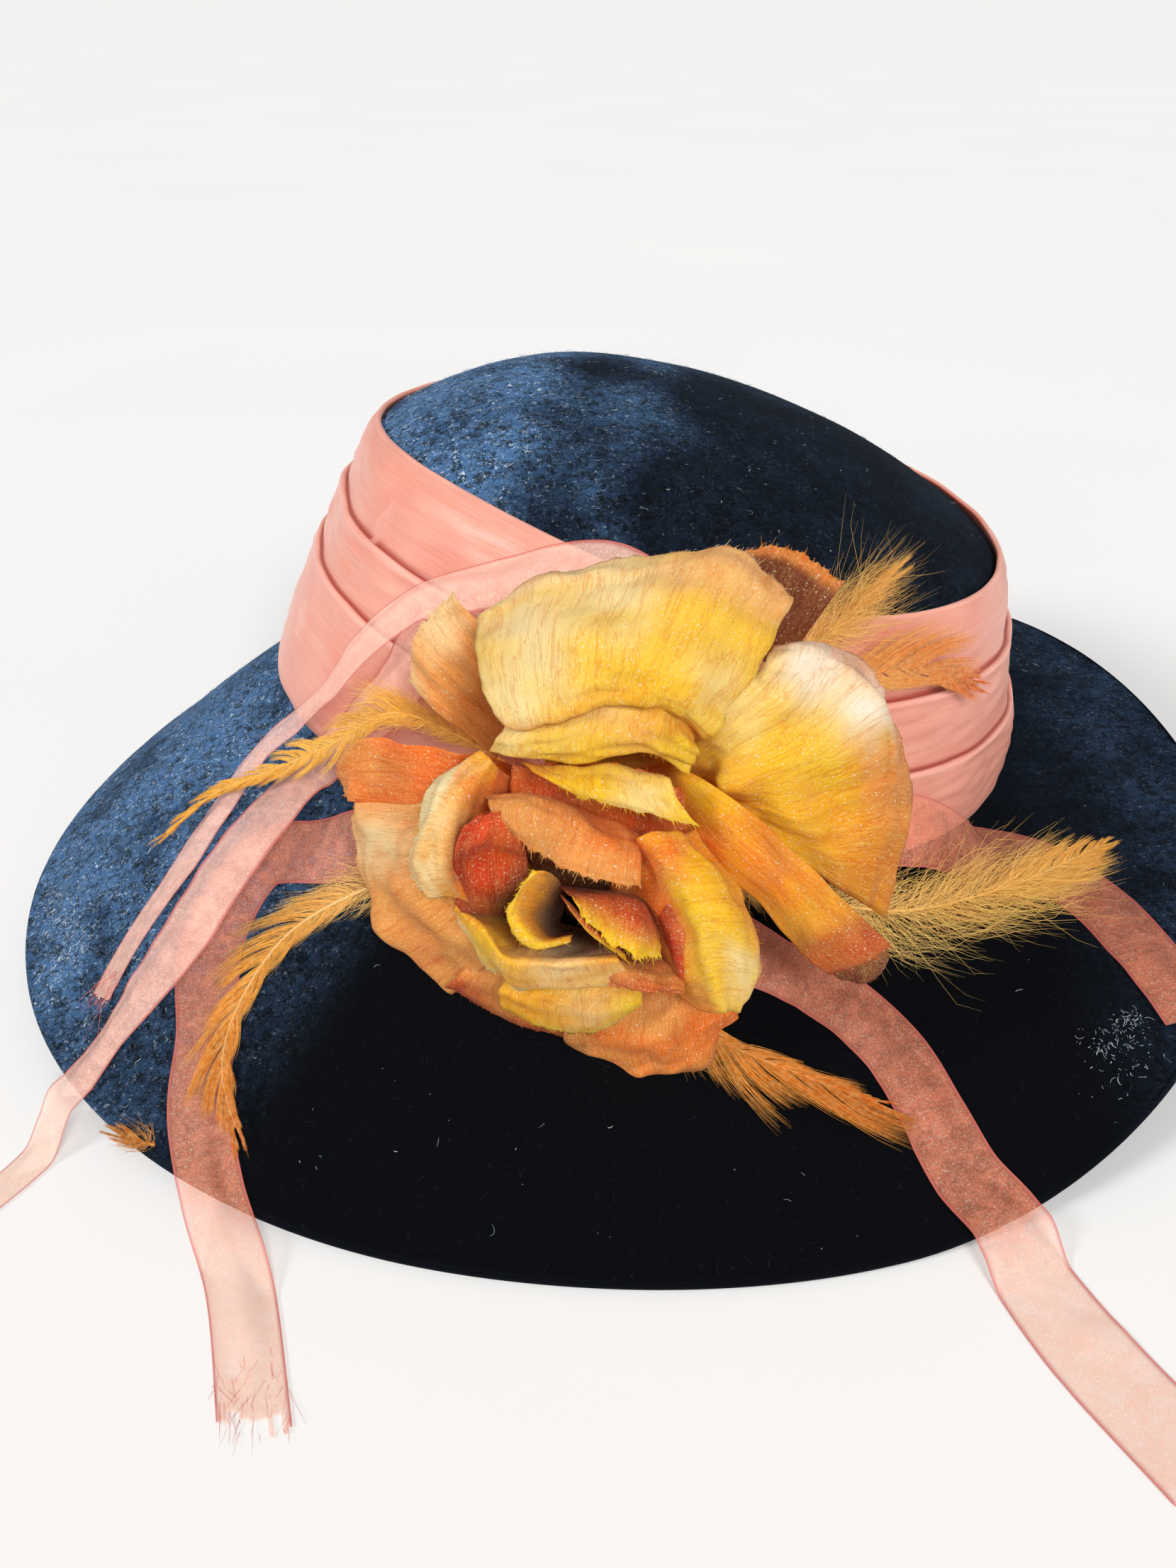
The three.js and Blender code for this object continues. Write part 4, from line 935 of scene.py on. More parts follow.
PETALS = {
    "back_top": dict(tones=(BROWN, BROWN, TAN), crumple=0.5, rows=[
        [(1000, 900, 14), (1050, 915, 14), (1100, 950, 14)],
        [(1010, 850, 17), (1070, 860, 18), (1135, 900, 17)],
        [(1020, 805, 19), (1095, 800, 19), (1170, 850, 18)],
        [(1035, 780, 19), (1110, 774, 19), (1190, 822, 17)]]),
    "back_left": dict(dyes_and_highlights=(
        (620, 880, 40, CREAM, 0.5),),
        tones=(PEACH, PEACH, PALE_TAN), crumple=0.6, rows=[
        [(760, 1000, 14), (720, 1030, 14), (700, 1070, 14)],
        [(700, 900, 19), (660, 960, 19), (650, 1030, 19)],
        [(655, 860, 21), (615, 920, 21), (610, 1000, 21)],
        [(640, 835, 20), (590, 890, 20), (572, 965, 20)]]),
    "right": dict(dyes_and_highlights=(
        # the two WHITE patches are painted highlights on the petal's raised ridge
        (1140, 945, 58, WHITE, 1.0), (1225, 1000, 46, WHITE, 0.9), (1080, 1045, 80, YELLOW, 1.0),
        (1040, 1000, 50, CREAM, 0.5), (1040, 1115, 45, GOLD, 0.8), (1235, 1250, 62, RUST, 0.6),
        (1173, 1173, 60, ORANGE, 0.4), (1273, 1100, 40, TAN, 0.5)),
        tones=(GOLD, YELLOW, TAN), crumple=1.0, rows=[
        [(890, 1120, 15), (900, 1135, 15), (905, 1150, 15), (905, 1165, 15), (900, 1180, 15)],
        [(960, 1050, 32), (985, 1080, 32), (1000, 1110, 31), (1010, 1140, 30), (1010, 1170, 28)],
        [(1010, 1010, 39), (1030, 1060, 39), (1050, 1110, 38), (1070, 1150, 35), (1085, 1190, 32)],
        [(1065, 955, 37), (1120, 1000, 35), (1160, 1070, 33), (1170, 1160, 29), (1165, 1240, 26)],
        [(1085, 925, 30), (1170, 932, 31), (1240, 1010, 29), (1255, 1130, 25), (1220, 1275, 21)],
        [(1090, 912, 26), (1175, 915, 26), (1266, 1005, 23), (1284, 1130, 19), (1245, 1297, 17)]]),
    "left": dict(dyes_and_highlights=(
        (593, 1078, 50, ORANGE, 0.7), (500, 1058, 40, PEACH, 0.6)),
        tones=(ORANGE, ORANGE, TAN), crumple=0.8, rows=[
        [(800, 1120, 15), (790, 1140, 15), (790, 1160, 15)],
        [(700, 1070, 31), (685, 1100, 31), (680, 1135, 31)],
        [(650, 1062, 34), (635, 1100, 34), (630, 1150, 34)],
        [(580, 1050, 29), (565, 1090, 28), (555, 1145, 28)],
        [(520, 1042, 24), (505, 1085, 22), (498, 1130, 22)],
        [(485, 1052, 22), (474, 1090, 19), (480, 1128, 19)]]),
    "left_under": dict(dyes_and_highlights=(
        (527, 1190, 45, CREAM, 0.8), (573, 1300, 60, PEACH, 0.8), (660, 1355, 60, PEACH, 0.8),
        (600, 1345, 30, RUST, 0.4)),
        tones=(GOLD, PEACH, PEACH), crumple=1.0, rows=[
        [(790, 1150, 16), (790, 1170, 16), (790, 1190, 16), (800, 1210, 16)],
        [(670, 1120, 33), (650, 1190, 34), (665, 1260, 34), (720, 1320, 34)],
        [(635, 1125, 37), (612, 1200, 38), (630, 1280, 38), (700, 1350, 37)],
        [(575, 1135, 33), (560, 1215, 34), (592, 1300, 34), (672, 1375, 33)],
        [(515, 1130, 25), (515, 1215, 26), (552, 1310, 27), (645, 1396, 28)],
        [(492, 1130, 21), (498, 1220, 22), (535, 1318, 23), (632, 1408, 24)]]),
    "top": dict(dyes_and_highlights=(
        (760, 907, 75, CREAM, 0.8), (987, 893, 80, YELLOW, 0.8), (1007, 800, 70, PEACH, 0.5),
        (867, 840, 60, CREAM, 0.8), (1007, 965, 50, CREAM, 0.6), (840, 930, 50, YELLOW, 0.6),
        (947, 960, 50, YELLOW, 0.8), (720, 985, 55, CREAM, 0.7), (1090, 850, 40, PEACH, 0.7)),
        tones=(GOLD, YELLOW, PALE_TAN), crumple=1.0, rows=[
        [(790, 1090, 15), (820, 1090, 15), (850, 1090, 15), (880, 1095, 15), (905, 1100, 15)],
        [(715, 1012, 40), (775, 1030, 42), (850, 1000, 43), (925, 1000, 43), (990, 1048, 37)],
        [(700, 1008, 45), (765, 1024, 47), (850, 985, 48), (935, 988, 47), (1005, 1040, 41)],
        [(682, 975, 43), (755, 975, 46), (850, 950, 47), (945, 955, 46), (1040, 1000, 39)],
        [(670, 925, 36), (750, 895, 39), (860, 880, 41), (975, 888, 40), (1082, 925, 34)],
        [(672, 875, 29), (770, 838, 31), (890, 820, 32), (1010, 808, 31), (1108, 872, 28)],
        [(680, 862, 26), (775, 808, 26), (900, 796, 26), (1035, 774, 26), (1113, 850, 25)]]),
    "top_under": dict(dyes_and_highlights=(
        (720, 1040, 40, CREAM, 0.6), (840, 1010, 55, PALE_TAN, 0.8), (900, 1040, 40, PEACH, 0.6),
        (840, 1060, 50, YELLOW, 0.8)),
        tones=(GOLD, YELLOW, YELLOW), crumple=0.6, rows=[
        [(780, 1100, 15), (820, 1100, 15), (850, 1100, 15), (880, 1105, 15)],
        [(725, 1000, 41), (790, 995, 42), (865, 975, 43), (935, 985, 42), (980, 1035, 37)],
        [(706, 1032, 44), (775, 1040, 46), (850, 1028, 47), (925, 1035, 45), (985, 1062, 40)],
        [(692, 1056, 43), (770, 1062, 45), (846, 1060, 46), (922, 1060, 44), (978, 1078, 40)],
        [(688, 1066, 41), (770, 1075, 43), (845, 1072, 44), (920, 1070, 42), (970, 1086, 39)]]),
    "low_left": dict(tones=(TAN, PEACH, RUST), crumple=0.7, rows=[
        [(740, 1290, 17), (760, 1300, 17), (790, 1310, 17)],
        [(690, 1340, 32), (735, 1365, 33), (800, 1400, 32)],
        [(655, 1368, 33), (715, 1400, 35), (800, 1430, 34)],
        [(625, 1395, 29), (700, 1440, 31), (800, 1470, 31)]]),
    "flap": dict(dyes_and_highlights=(
        (993, 1110, 50, YELLOW, 0.8), (1090, 1230, 50, ORANGE, 0.7), (1200, 1345, 40, RUST, 0.7)),
        tones=(ORANGE, GOLD, RUST), crumple=0.5, rows=[
        [(880, 1090, 20), (885, 1115, 22), (885, 1140, 20)],
        [(955, 1082, 33), (962, 1122, 36), (950, 1165, 33)],
        [(1045, 1135, 40), (1035, 1178, 43), (1015, 1222, 39)],
        [(1125, 1205, 36), (1112, 1248, 39), (1085, 1292, 35)],
        [(1190, 1270, 31), (1168, 1310, 34), (1130, 1345, 30)],
        [(1256, 1334, 26), (1225, 1358, 28), (1168, 1377, 26)]]),
    "flap_net": dict(tones=(BROWN, BROWN, BROWN), crumple=0.4, rows=[
        [(1245, 1320, 23), (1210, 1345, 24), (1165, 1360, 23)],
        [(1254, 1350, 22), (1222, 1372, 23), (1180, 1380, 22)],
        [(1240, 1378, 20), (1215, 1388, 21), (1190, 1386, 21)]]),
    "low": dict(dyes_and_highlights=(
        (993, 1440, 40, ORANGE, 0.8), (787, 1465, 35, BROWN, 0.7), (907, 1440, 50, PEACH, 0.6)),
        tones=(TAN, ORANGE, TAN), crumple=0.9, rows=[
        [(830, 1290, 17), (870, 1290, 17), (910, 1280, 17)],
        [(810, 1400, 31), (880, 1410, 33), (960, 1400, 33), (1020, 1370, 31)],
        [(800, 1440, 33), (870, 1462, 35), (960, 1455, 35), (1035, 1410, 33)],
        [(802, 1475, 30), (880, 1500, 32), (965, 1492, 32), (1040, 1430, 31)],
        [(815, 1494, 27), (885, 1518, 29), (975, 1503, 29), (1036, 1446, 29)]]),
    "low_front": dict(dyes_and_highlights=(
        (830, 1430, 40, CREAM, 0.45), (730, 1400, 40, GOLD, 0.7)),
        tones=(YELLOW, GOLD, YELLOW), crumple=0.7, rows=[
        [(790, 1310, 20), (830, 1310, 20), (870, 1300, 20)],
        [(728, 1365, 40), (790, 1380, 43), (850, 1380, 43), (900, 1368, 40)],
        [(705, 1395, 41), (775, 1418, 44), (845, 1420, 44), (905, 1398, 41)],
        [(708, 1425, 37), (780, 1455, 39), (850, 1455, 39), (902, 1420, 38)]]),
    "lip_left": dict(dyes_and_highlights=(
        (613, 1150, 45, CREAM, 0.6), (672, 1120, 28, ORANGE, 0.8), (600, 1230, 40, CREAM, 0.7)),
        tones=(ORANGE, GOLD, CREAM), crumple=0.6, rows=[
        [(780, 1120, 20), (760, 1150, 20), (755, 1190, 20), (760, 1230, 20), (770, 1260, 20)],
        [(712, 1090, 38), (682, 1135, 38), (665, 1185, 38), (662, 1232, 38), (680, 1275, 38)],
        [(695, 1075, 44), (655, 1120, 45), (630, 1178, 46), (625, 1228, 45), (640, 1268, 43)],
        [(683, 1062, 44), (630, 1108, 45), (600, 1172, 46), (595, 1228, 45), (610, 1266, 43)],
        [(676, 1058, 40), (618, 1110, 40), (580, 1178, 41), (575, 1232, 41), (592, 1262, 40)]]),
    "lip_top": dict(dyes_and_highlights=(
        (735, 1110, 42, RED, 0.9), (907, 1130, 45, CREAM, 0.6), (800, 1100, 40, YELLOW, 0.8)),
        tones=(GOLD, YELLOW, YELLOW), crumple=0.6, rows=[
        [(790, 1130, 24), (830, 1125, 24), (870, 1125, 24), (905, 1135, 24)],
        [(735, 1078, 39), (795, 1080, 42), (860, 1080, 44), (940, 1090, 43)],
        [(745, 1082, 42), (800, 1098, 47), (862, 1106, 49), (955, 1125, 47)],
        [(752, 1090, 43), (805, 1122, 49), (868, 1140, 51), (985, 1168, 47)]]),
    "lip_right": dict(dyes_and_highlights=(
        (1045, 1375, 40, CREAM, 0.9), (947, 1200, 40, ORANGE, 0.9), (1000, 1370, 45, YELLOW, 0.8),
        (1030, 1250, 40, GOLD, 0.6)),
        tones=(ORANGE, YELLOW, GOLD), crumple=0.8, rows=[
        [(850, 1200, 24), (855, 1230, 24), (860, 1260, 24), (865, 1290, 24), (870, 1310, 24)],
        [(890, 1195, 42), (915, 1250, 43), (945, 1310, 43), (965, 1370, 43), (985, 1425, 41)],
        [(905, 1180, 46), (945, 1228, 49), (985, 1290, 50), (1005, 1355, 49), (1022, 1428, 46)],
        [(950, 1172, 44), (1000, 1220, 46), (1040, 1290, 46), (1052, 1360, 46), (1040, 1428, 43)],
        [(975, 1180, 39), (1025, 1230, 40), (1062, 1300, 40), (1068, 1370, 40), (1042, 1424, 40)]]),
    "inner_left": dict(dyes_and_highlights=(
        (705, 1190, 22, ORANGE, 0.6), (655, 1215, 22, BROWN, 0.5), (740, 1265, 30, BROWN, 0.9),
        (680, 1285, 30, RUST, 0.8)),
        tones=(BROWN, RED, RED), crumple=1.1, rows=[
        [(700, 1270, 22), (720, 1280, 22), (745, 1280, 22)],
        [(650, 1290, 36), (692, 1300, 36), (738, 1288, 35)],
        [(640, 1240, 42), (685, 1252, 40), (745, 1250, 38)],
        [(642, 1200, 46), (685, 1195, 43), (742, 1215, 41)],
        [(654, 1170, 48), (697, 1158, 46), (740, 1182, 44)],
        [(664, 1160, 48), (700, 1150, 47), (738, 1170, 45)]]),
    "inner_right": dict(tones=(RUST, TAN, RUST), crumple=0.6, rows=[
        [(830, 1320, 24), (850, 1325, 24), (870, 1325, 24)],
        [(800, 1335, 40), (870, 1345, 41), (930, 1358, 41), (962, 1375, 39)],
        [(806, 1350, 46), (868, 1368, 48), (930, 1385, 48), (966, 1396, 44)],
        [(818, 1362, 48), (868, 1394, 50), (930, 1406, 50), (968, 1402, 45)]]),
    "inner_top": dict(dyes_and_highlights=(
        (720, 1150, 50, PEACH, 0.7), (860, 1180, 40, ORANGE, 0.8), (830, 1235, 40, PEACH, 0.6)),
        tones=(ORANGE, TAN, PEACH), crumple=0.7, rows=[
        [(800, 1180, 24), (830, 1185, 24), (860, 1190, 24), (880, 1200, 24)],
        [(684, 1118, 37), (770, 1130, 39), (840, 1150, 40), (905, 1175, 40)],
        [(688, 1128, 42), (775, 1148, 47), (845, 1178, 48), (905, 1205, 46)],
        [(698, 1165, 45), (755, 1208, 50), (825, 1240, 51), (902, 1255, 48)]]),
    "cup": dict(dyes_and_highlights=(
        (860, 1110, 50, ORANGE, 0.8), (760, 1110, 40, RED, 0.7)),
        tones=(BROWN, RUST, ORANGE), crumple=0.4, rows=[
        [(770, 1260, 22), (830, 1260, 22), (880, 1260, 22), (910, 1260, 22)],
        [(735, 1190, 34), (830, 1190, 35), (905, 1215, 34), (960, 1280, 33)],
        [(722, 1130, 37), (830, 1130, 38), (920, 1150, 37), (985, 1215, 35)],
        [(720, 1085, 37), (840, 1078, 38), (935, 1100, 37), (1000, 1160, 35)]]),
    "inner_low": dict(dyes_and_highlights=(
        (690, 1330, 40, YELLOW, 0.9), (790, 1370, 50, CREAM, 0.6)),
        tones=(BROWN, GOLD, CREAM), crumple=0.6, rows=[
        [(770, 1290, 24), (785, 1300, 24), (800, 1305, 24), (820, 1310, 24), (840, 1310, 24)],
        [(650, 1285, 43), (695, 1312, 46), (730, 1338, 48), (790, 1345, 48), (870, 1340, 47)],
        [(638, 1278, 47), (684, 1315, 51), (712, 1350, 53), (775, 1360, 53), (872, 1352, 51)],
        [(648, 1300, 45), (684, 1345, 48), (712, 1376, 50), (780, 1386, 50), (885, 1372, 48)],
        [(668, 1330, 42), (695, 1372, 44), (725, 1392, 45), (790, 1400, 45), (892, 1384, 44)]]),
    "bud_left": dict(tones=(BROWN, GOLD, YELLOW), crumple=0.4, rows=[
        [(800, 1270, 24), (795, 1285, 24), (790, 1300, 24), (800, 1310, 24), (810, 1312, 24)],
        [(785, 1238, 44), (765, 1262, 44), (752, 1290, 44), (775, 1318, 44), (808, 1316, 43)],
        [(765, 1228, 50), (742, 1255, 51), (728, 1292, 52), (758, 1328, 52), (806, 1322, 49)],
        [(750, 1228, 51), (728, 1258, 52), (714, 1298, 53), (745, 1340, 53), (804, 1332, 50)]]),
    "bud_right": dict(tones=(BROWN, RUST, YELLOW), crumple=0.5, rows=[
        [(830, 1270, 24), (850, 1275, 24), (870, 1285, 24), (885, 1300, 24)],
        [(790, 1248, 38), (850, 1256, 40), (905, 1272, 40), (925, 1310, 39)],
        [(800, 1262, 44), (852, 1276, 47), (908, 1300, 48), (930, 1330, 45)],
        [(812, 1276, 48), (845, 1318, 51), (895, 1352, 52), (934, 1352, 48)]]),
    "bud_heart": dict(tones=(BROWN, RUST, YELLOW), crumple=0.4, rows=[
        [(800, 1290, 24), (820, 1300, 24), (840, 1305, 24)],
        [(790, 1262, 42), (822, 1290, 43), (870, 1330, 42)],
        [(795, 1270, 46), (830, 1306, 48), (880, 1345, 47)],
        [(805, 1283, 47), (838, 1325, 49), (888, 1358, 48)]]),
    "heart_fold": dict(tones=(BROWN, RED, RUST), crumple=0.3, rows=[
        [(900, 1270, 26), (915, 1290, 26), (930, 1320, 26)],
        [(925, 1270, 43), (940, 1320, 44), (955, 1370, 43)],
        [(950, 1275, 46), (965, 1325, 47), (968, 1385, 45)]]),
}
PETAL_PIECES = (  # the frame's solid, the slot that its finish is in, and other sheets sewn to it
    ("back_top", "silk_rust"), ("back_left", "silk_peach"), ("right", "silk_yellow"),
    ("top", "silk_yellow", "top_under"), ("left", "silk_peach", "left_under"), ("low_left", "silk_peach"),
    ("flap", "silk_orange", "flap_net"), ("low", "silk_rust"), ("low_front", "silk_yellow"),
    ("lip_left", "silk_peach"), ("lip_top", "silk_yellow"), ("lip_right", "silk_yellow"),
    ("inner_left", "silk_rust"), ("inner_right", "silk_orange", "heart_fold"),
    ("inner_top", "silk_orange", "cup"), ("inner_low", "silk_yellow"), ("bud_left", "silk_rust"),
    ("bud_right", "silk_orange", "bud_heart"),
)
NET_PETALS = ("back_top", "low_left")
PETAL_ACROSS, PETAL_ALONG = 54, 60
SILK = 0.22
RIM_THREADS = 5  # for each millimetre of a petal's width


def petal_grid(rows, across, along):
    """A fine net on smooth curves through a petal's points, first across it and then along it."""
    spun = np.array([catmull([in_rose(*p) for p in row], np.linspace(0, 1, across)) for row in rows])
    lines = [catmull(spun[:, j], np.linspace(0, 1, along)) for j in range(across)]
    return np.array(lines).transpose(1, 0, 2)


def net_area(across, along):
    """Area in square metres of a net, from the two sides of its cells in millimetres."""
    return float(np.linalg.norm(np.cross(across, along), axis=-1).sum() / 1e6)


def petal_cut(grid):
    """The greatest width and length in metres that a petal is cut to, and its flat area."""
    across, along = np.diff(grid, axis=1)[1:], np.diff(grid, axis=0)[:, 1:]
    width = float(np.linalg.norm(across, axis=-1).sum(1).max() / 1000)
    length = float(np.linalg.norm(along, axis=-1).sum(0).max() / 1000)
    return width, length, min(net_area(across, along), width * length)


def petal_part(name, rows, tones, crumple=1.0, dyes_and_highlights=()):
    """A crumpled petal, tinted with dyes and painted highlights, the threads that hang from its rim, and
    what it was cut to.
    """
    seed = sum(map(ord, name))
    grid = petal_grid(rows, PETAL_ACROSS, PETAL_ALONG)
    cut = petal_cut(grid)
    normal = grid_normals(grid)
    wide = np.linalg.norm(np.diff(grid, axis=1), axis=-1).sum(1).mean()
    long = np.linalg.norm(np.diff(grid, axis=0), axis=-1).sum(0).mean()
    u = np.linspace(-0.5, 0.5, PETAL_ACROSS)[None] * wide
    v = np.linspace(0, 1, PETAL_ALONG)[:, None] * long
    u, v = np.broadcast_arrays(u, v)
    t = v / long
    flat, spot = np.stack([u, v * 0.12], -1), np.stack([u, v], -1)
    pleat = ripple(flat, 6.5, seed) * 0.17 + ripple(flat, 2.6, seed + 1) * 0.07
    crush = ripple(spot, 15.0, seed + 2) * 0.8 + ripple(spot, 6.5, seed + 3) * 0.2
    ruffle = ripple(spot * [1, 0.3], 13.0, seed + 4) * 0.9 * smooth(0.7, 1.0, t)
    fade = smooth(0.0, 0.3, t)
    grid = grid + normal * ((pleat + crush + ruffle) * crumple * fade)[..., None]
    grid = grid - rose_axis * (1.5 * crumple * smooth(0.86, 1.0, t) ** 2)[..., None]
    # the rim is cut by hand and frays
    rag = np.random.default_rng(seed).normal(0, 0.22, PETAL_ACROSS)
    out = unit(grid[-1] - grid[-3])
    grid[-1] += out * (rag + 0.35 * ripple(u[-1][:, None], 4.0, seed + 5))[:, None]
    patch = ripple(spot, 22.0, seed + 6)
    # the brown roots of the inner petals are partly painted shade deep in the bud
    root, body, rim = tones
    tint = mix(root, body, smooth(0.15, 0.55, t + 0.12 * patch)[..., None])
    tint = mix(tint, rim, smooth(0.66, 0.98, t + 0.14 * patch)[..., None])
    tint = tint * (1 + 0.08 * ripple(flat, 3.0, seed + 7))[..., None]
    seen = pixels(grid) + ripple(spot, 9.0, seed + 9)[..., None] * 9
    for px, py, radius, colour, strength in dyes_and_highlights:
        away = np.hypot(seen[..., 0] - px, seen[..., 1] - py) / radius
        tint = mix(tint, colour, (strength * np.exp(-away ** 2))[..., None])
    shift = seed % 97  # so that no two petals have the same weave
    cloth = np.stack([u + shift, v, np.ones_like(u)], -1)
    sheet = leaf(grid, SILK, np.clip(tint, 0, 1), cloth)
    return sheet, loose_threads(grid[-1], out, rim, seed + 8, shift, int(wide * RIM_THREADS)), cut


def loose_threads(rim, out, tone, seed, shift, count):
    """Short threads that hang from a petal's rim."""
    pick = np.random.default_rng(seed)
    j = pick.integers(1, PETAL_ACROSS - 1, count)
    start = mix(rim[j], rim[j - 1], pick.random((count, 1)))
    aim = unit(out[j] + pick.normal(0, 0.35, (count, 3)))
    reach = pick.gamma(2.0, 0.28, (count, 1))
    paths = np.stack([start + aim * reach * s - UP * 0.15 * s * s for s in (-0.3, 0.3, 1.0)], 1)
    widths = np.outer(pick.uniform(0.06, 0.12, count), [1, 0.9, 0.4])
    tints = np.tile(np.clip(tone * 1.1, 0, 1), (count, 1))
    return strands(paths, widths, tints, cloth=(shift, 3.0, 1.0))


frays = []
for node, slot, *sewn in PETAL_PIECES:
    look = net_look if node in NET_PETALS else silk_look
    for name in (node, *sewn):
        sheet, threads, (width, length, area) = petal_part(name, **PETALS[name])
        frays.append(threads)
        stands_for = [f"petal_{node}"] if name == node else []
        petal = build(f"rose_{name}", [sheet], look, stands_for)
build("rose_frayed_rims", frays, silk_look)

# The sewn pad behind the petals: padded cloth with a rolled rim
PAD_ROWS = (  # share of the radius, share of the depth
    (0.02, 0.0), (0.5, 0.0), (0.92, 0.0), (0.985, 0.08), (1.0, 0.3), (1.0, 0.6), (0.985, 0.82),
    (0.93, 0.95), (0.8, 1.0), (0.6, 1.0), (0.4, 0.99), (0.2, 0.98), (0.02, 0.97),
)
PAD_COLUMNS = 72
PAD_STITCHES = 12


def rose_pad():
    around = circle(PAD_COLUMNS)
    rows = []
    for wide, deep in PAD_ROWS:
        out = wide * PAD_RADIUS
        rows.append(mix(behind_rose(out, around), rose_point(out, around, PAD_DEPTH), deep))
    grid = np.array(rows)
    puff = 0.25 * np.cos(around * PAD_STITCHES) - 0.25
    grid[4:7] += unit(grid[5] - grid[5].mean(0)) * puff[:, None]
    down = np.linalg.norm(np.diff(grid, axis=0), axis=-1).mean(1)
    v = np.concatenate([[0], np.cumsum(down)])[:, None]
    cloth = np.stack(np.broadcast_arrays(around * PAD_RADIUS, v, 1.0), -1)
    ring = np.arange(PAD_COLUMNS)
    caps = [ring[None, ::-1], ((len(grid) - 1) * PAD_COLUMNS + ring)[None]]
    part = {"points": grid, "faces": [quads(len(grid), PAD_COLUMNS, True), *caps],
            "tint": lin(214, 128, 60), "cloth": cloth}
    build("rose_pad_cloth", [part], silk_look, ["rose_pad"])


rose_pad()

# Streamers and feathers lead from the pad over the hat. A row gives the bearing, the share out over the
# brim, the height as a share of the crown's (0 lies on what is below), how far the face is turned up, and
# the width as a share of the full width.
RIBBONS = {
    "loop": dict(start=100, rows=[
        (267, 0.07, 0.98, 10, 0.6), (268, -0.01, 1.14, 40, 0.9), (263, -0.04, 1.19, 60, 1.0),
        (257, -0.05, 1.19, 65, 0.9), (249, -0.04, 1.15, 65, 0.7), (240, -0.03, 1.08, 60, 0.6),
        (233, 0.0, 0.98, 50, 0.5), (224, 0.01, 0.79, 40, 0.4), (210, 0.1, 0.54, 45, 0.4),
        (211, 0.28, 0.43, 70, 0.4), (213, 0.52, 0.0, 90, 0.35), (215, 0.7, 0.0, 90, 0.32),
        (217, 0.84, 0.0, 90, 0.3)]),
    "tail_front": dict(start=150, rows=[
        (251, 0.01, 0.91, 10, 0.6), (242, -0.04, 1.0, 30, 0.7), (234, 0.0, 0.81, 30, 0.75),
        (220, 0.06, 0.53, 45, 0.8), (221, 0.32, 0.46, 80, 0.8), (222, 0.55, 0.36, 90, 0.75),
        (223, 0.78, 0.25, 90, 0.6), (221, 1.0, 0.0, 90, 0.5), (222.5, 1.16, 0.0, 90, 0.45),
        (223, 1.38, 0.0, 90, 0.4)]),
    "tail_near": dict(start=190, rows=[
        (245, 0.08, 0.54, 10, 0.8), (235, 0.13, 0.47, 30, 0.9), (229, 0.18, 0.42, 60, 1.0),
        (221, 0.3, 0.0, 80, 1.0), (223, 0.53, 0.0, 90, 0.85), (228.5, 0.71, 0.0, 90, 0.75),
        (232, 0.86, 0.0, 90, 0.75), (236.5, 1.0, 0.0, 90, 0.7), (241.5, 1.15, 0.0, 90, 0.7),
        (247.5, 1.46, 0.0, 90, 0.7)]),
    "tail_back": dict(start=0, rows=[
        (285, 0.15, 0.59, 0, 0.8), (297, 0.1, 0.54, 15, 1.0), (305, 0.13, 0.49, 35, 0.9),
        (316, 0.18, 0.36, 60, 0.9), (327.5, 0.25, 0.0, 90, 0.95), (327, 0.39, 0.0, 90, 1.0),
        (325.6, 0.57, 0.0, 90, 0.95), (322.9, 0.75, 0.0, 90, 0.9), (320, 0.96, 0.0, 90, 0.9)]),
    "tail_right": dict(start=-45, rows=[
        (277, 0.2, 0.37, 45, 0.8), (287, 0.29, 0.0, 90, 0.9), (292.8, 0.51, 0.0, 90, 0.85),
        (293.8, 0.71, 0.0, 90, 0.85), (294.3, 0.87, 0.0, 90, 0.85), (295.5, 1.01, 0.0, 90, 0.9),
        (295.5, 1.16, 0.0, 90, 0.95), (295.9, 1.33, 0.0, 90, 1.0), (297.4, 1.64, 0.0, 90, 1.0)]),
}
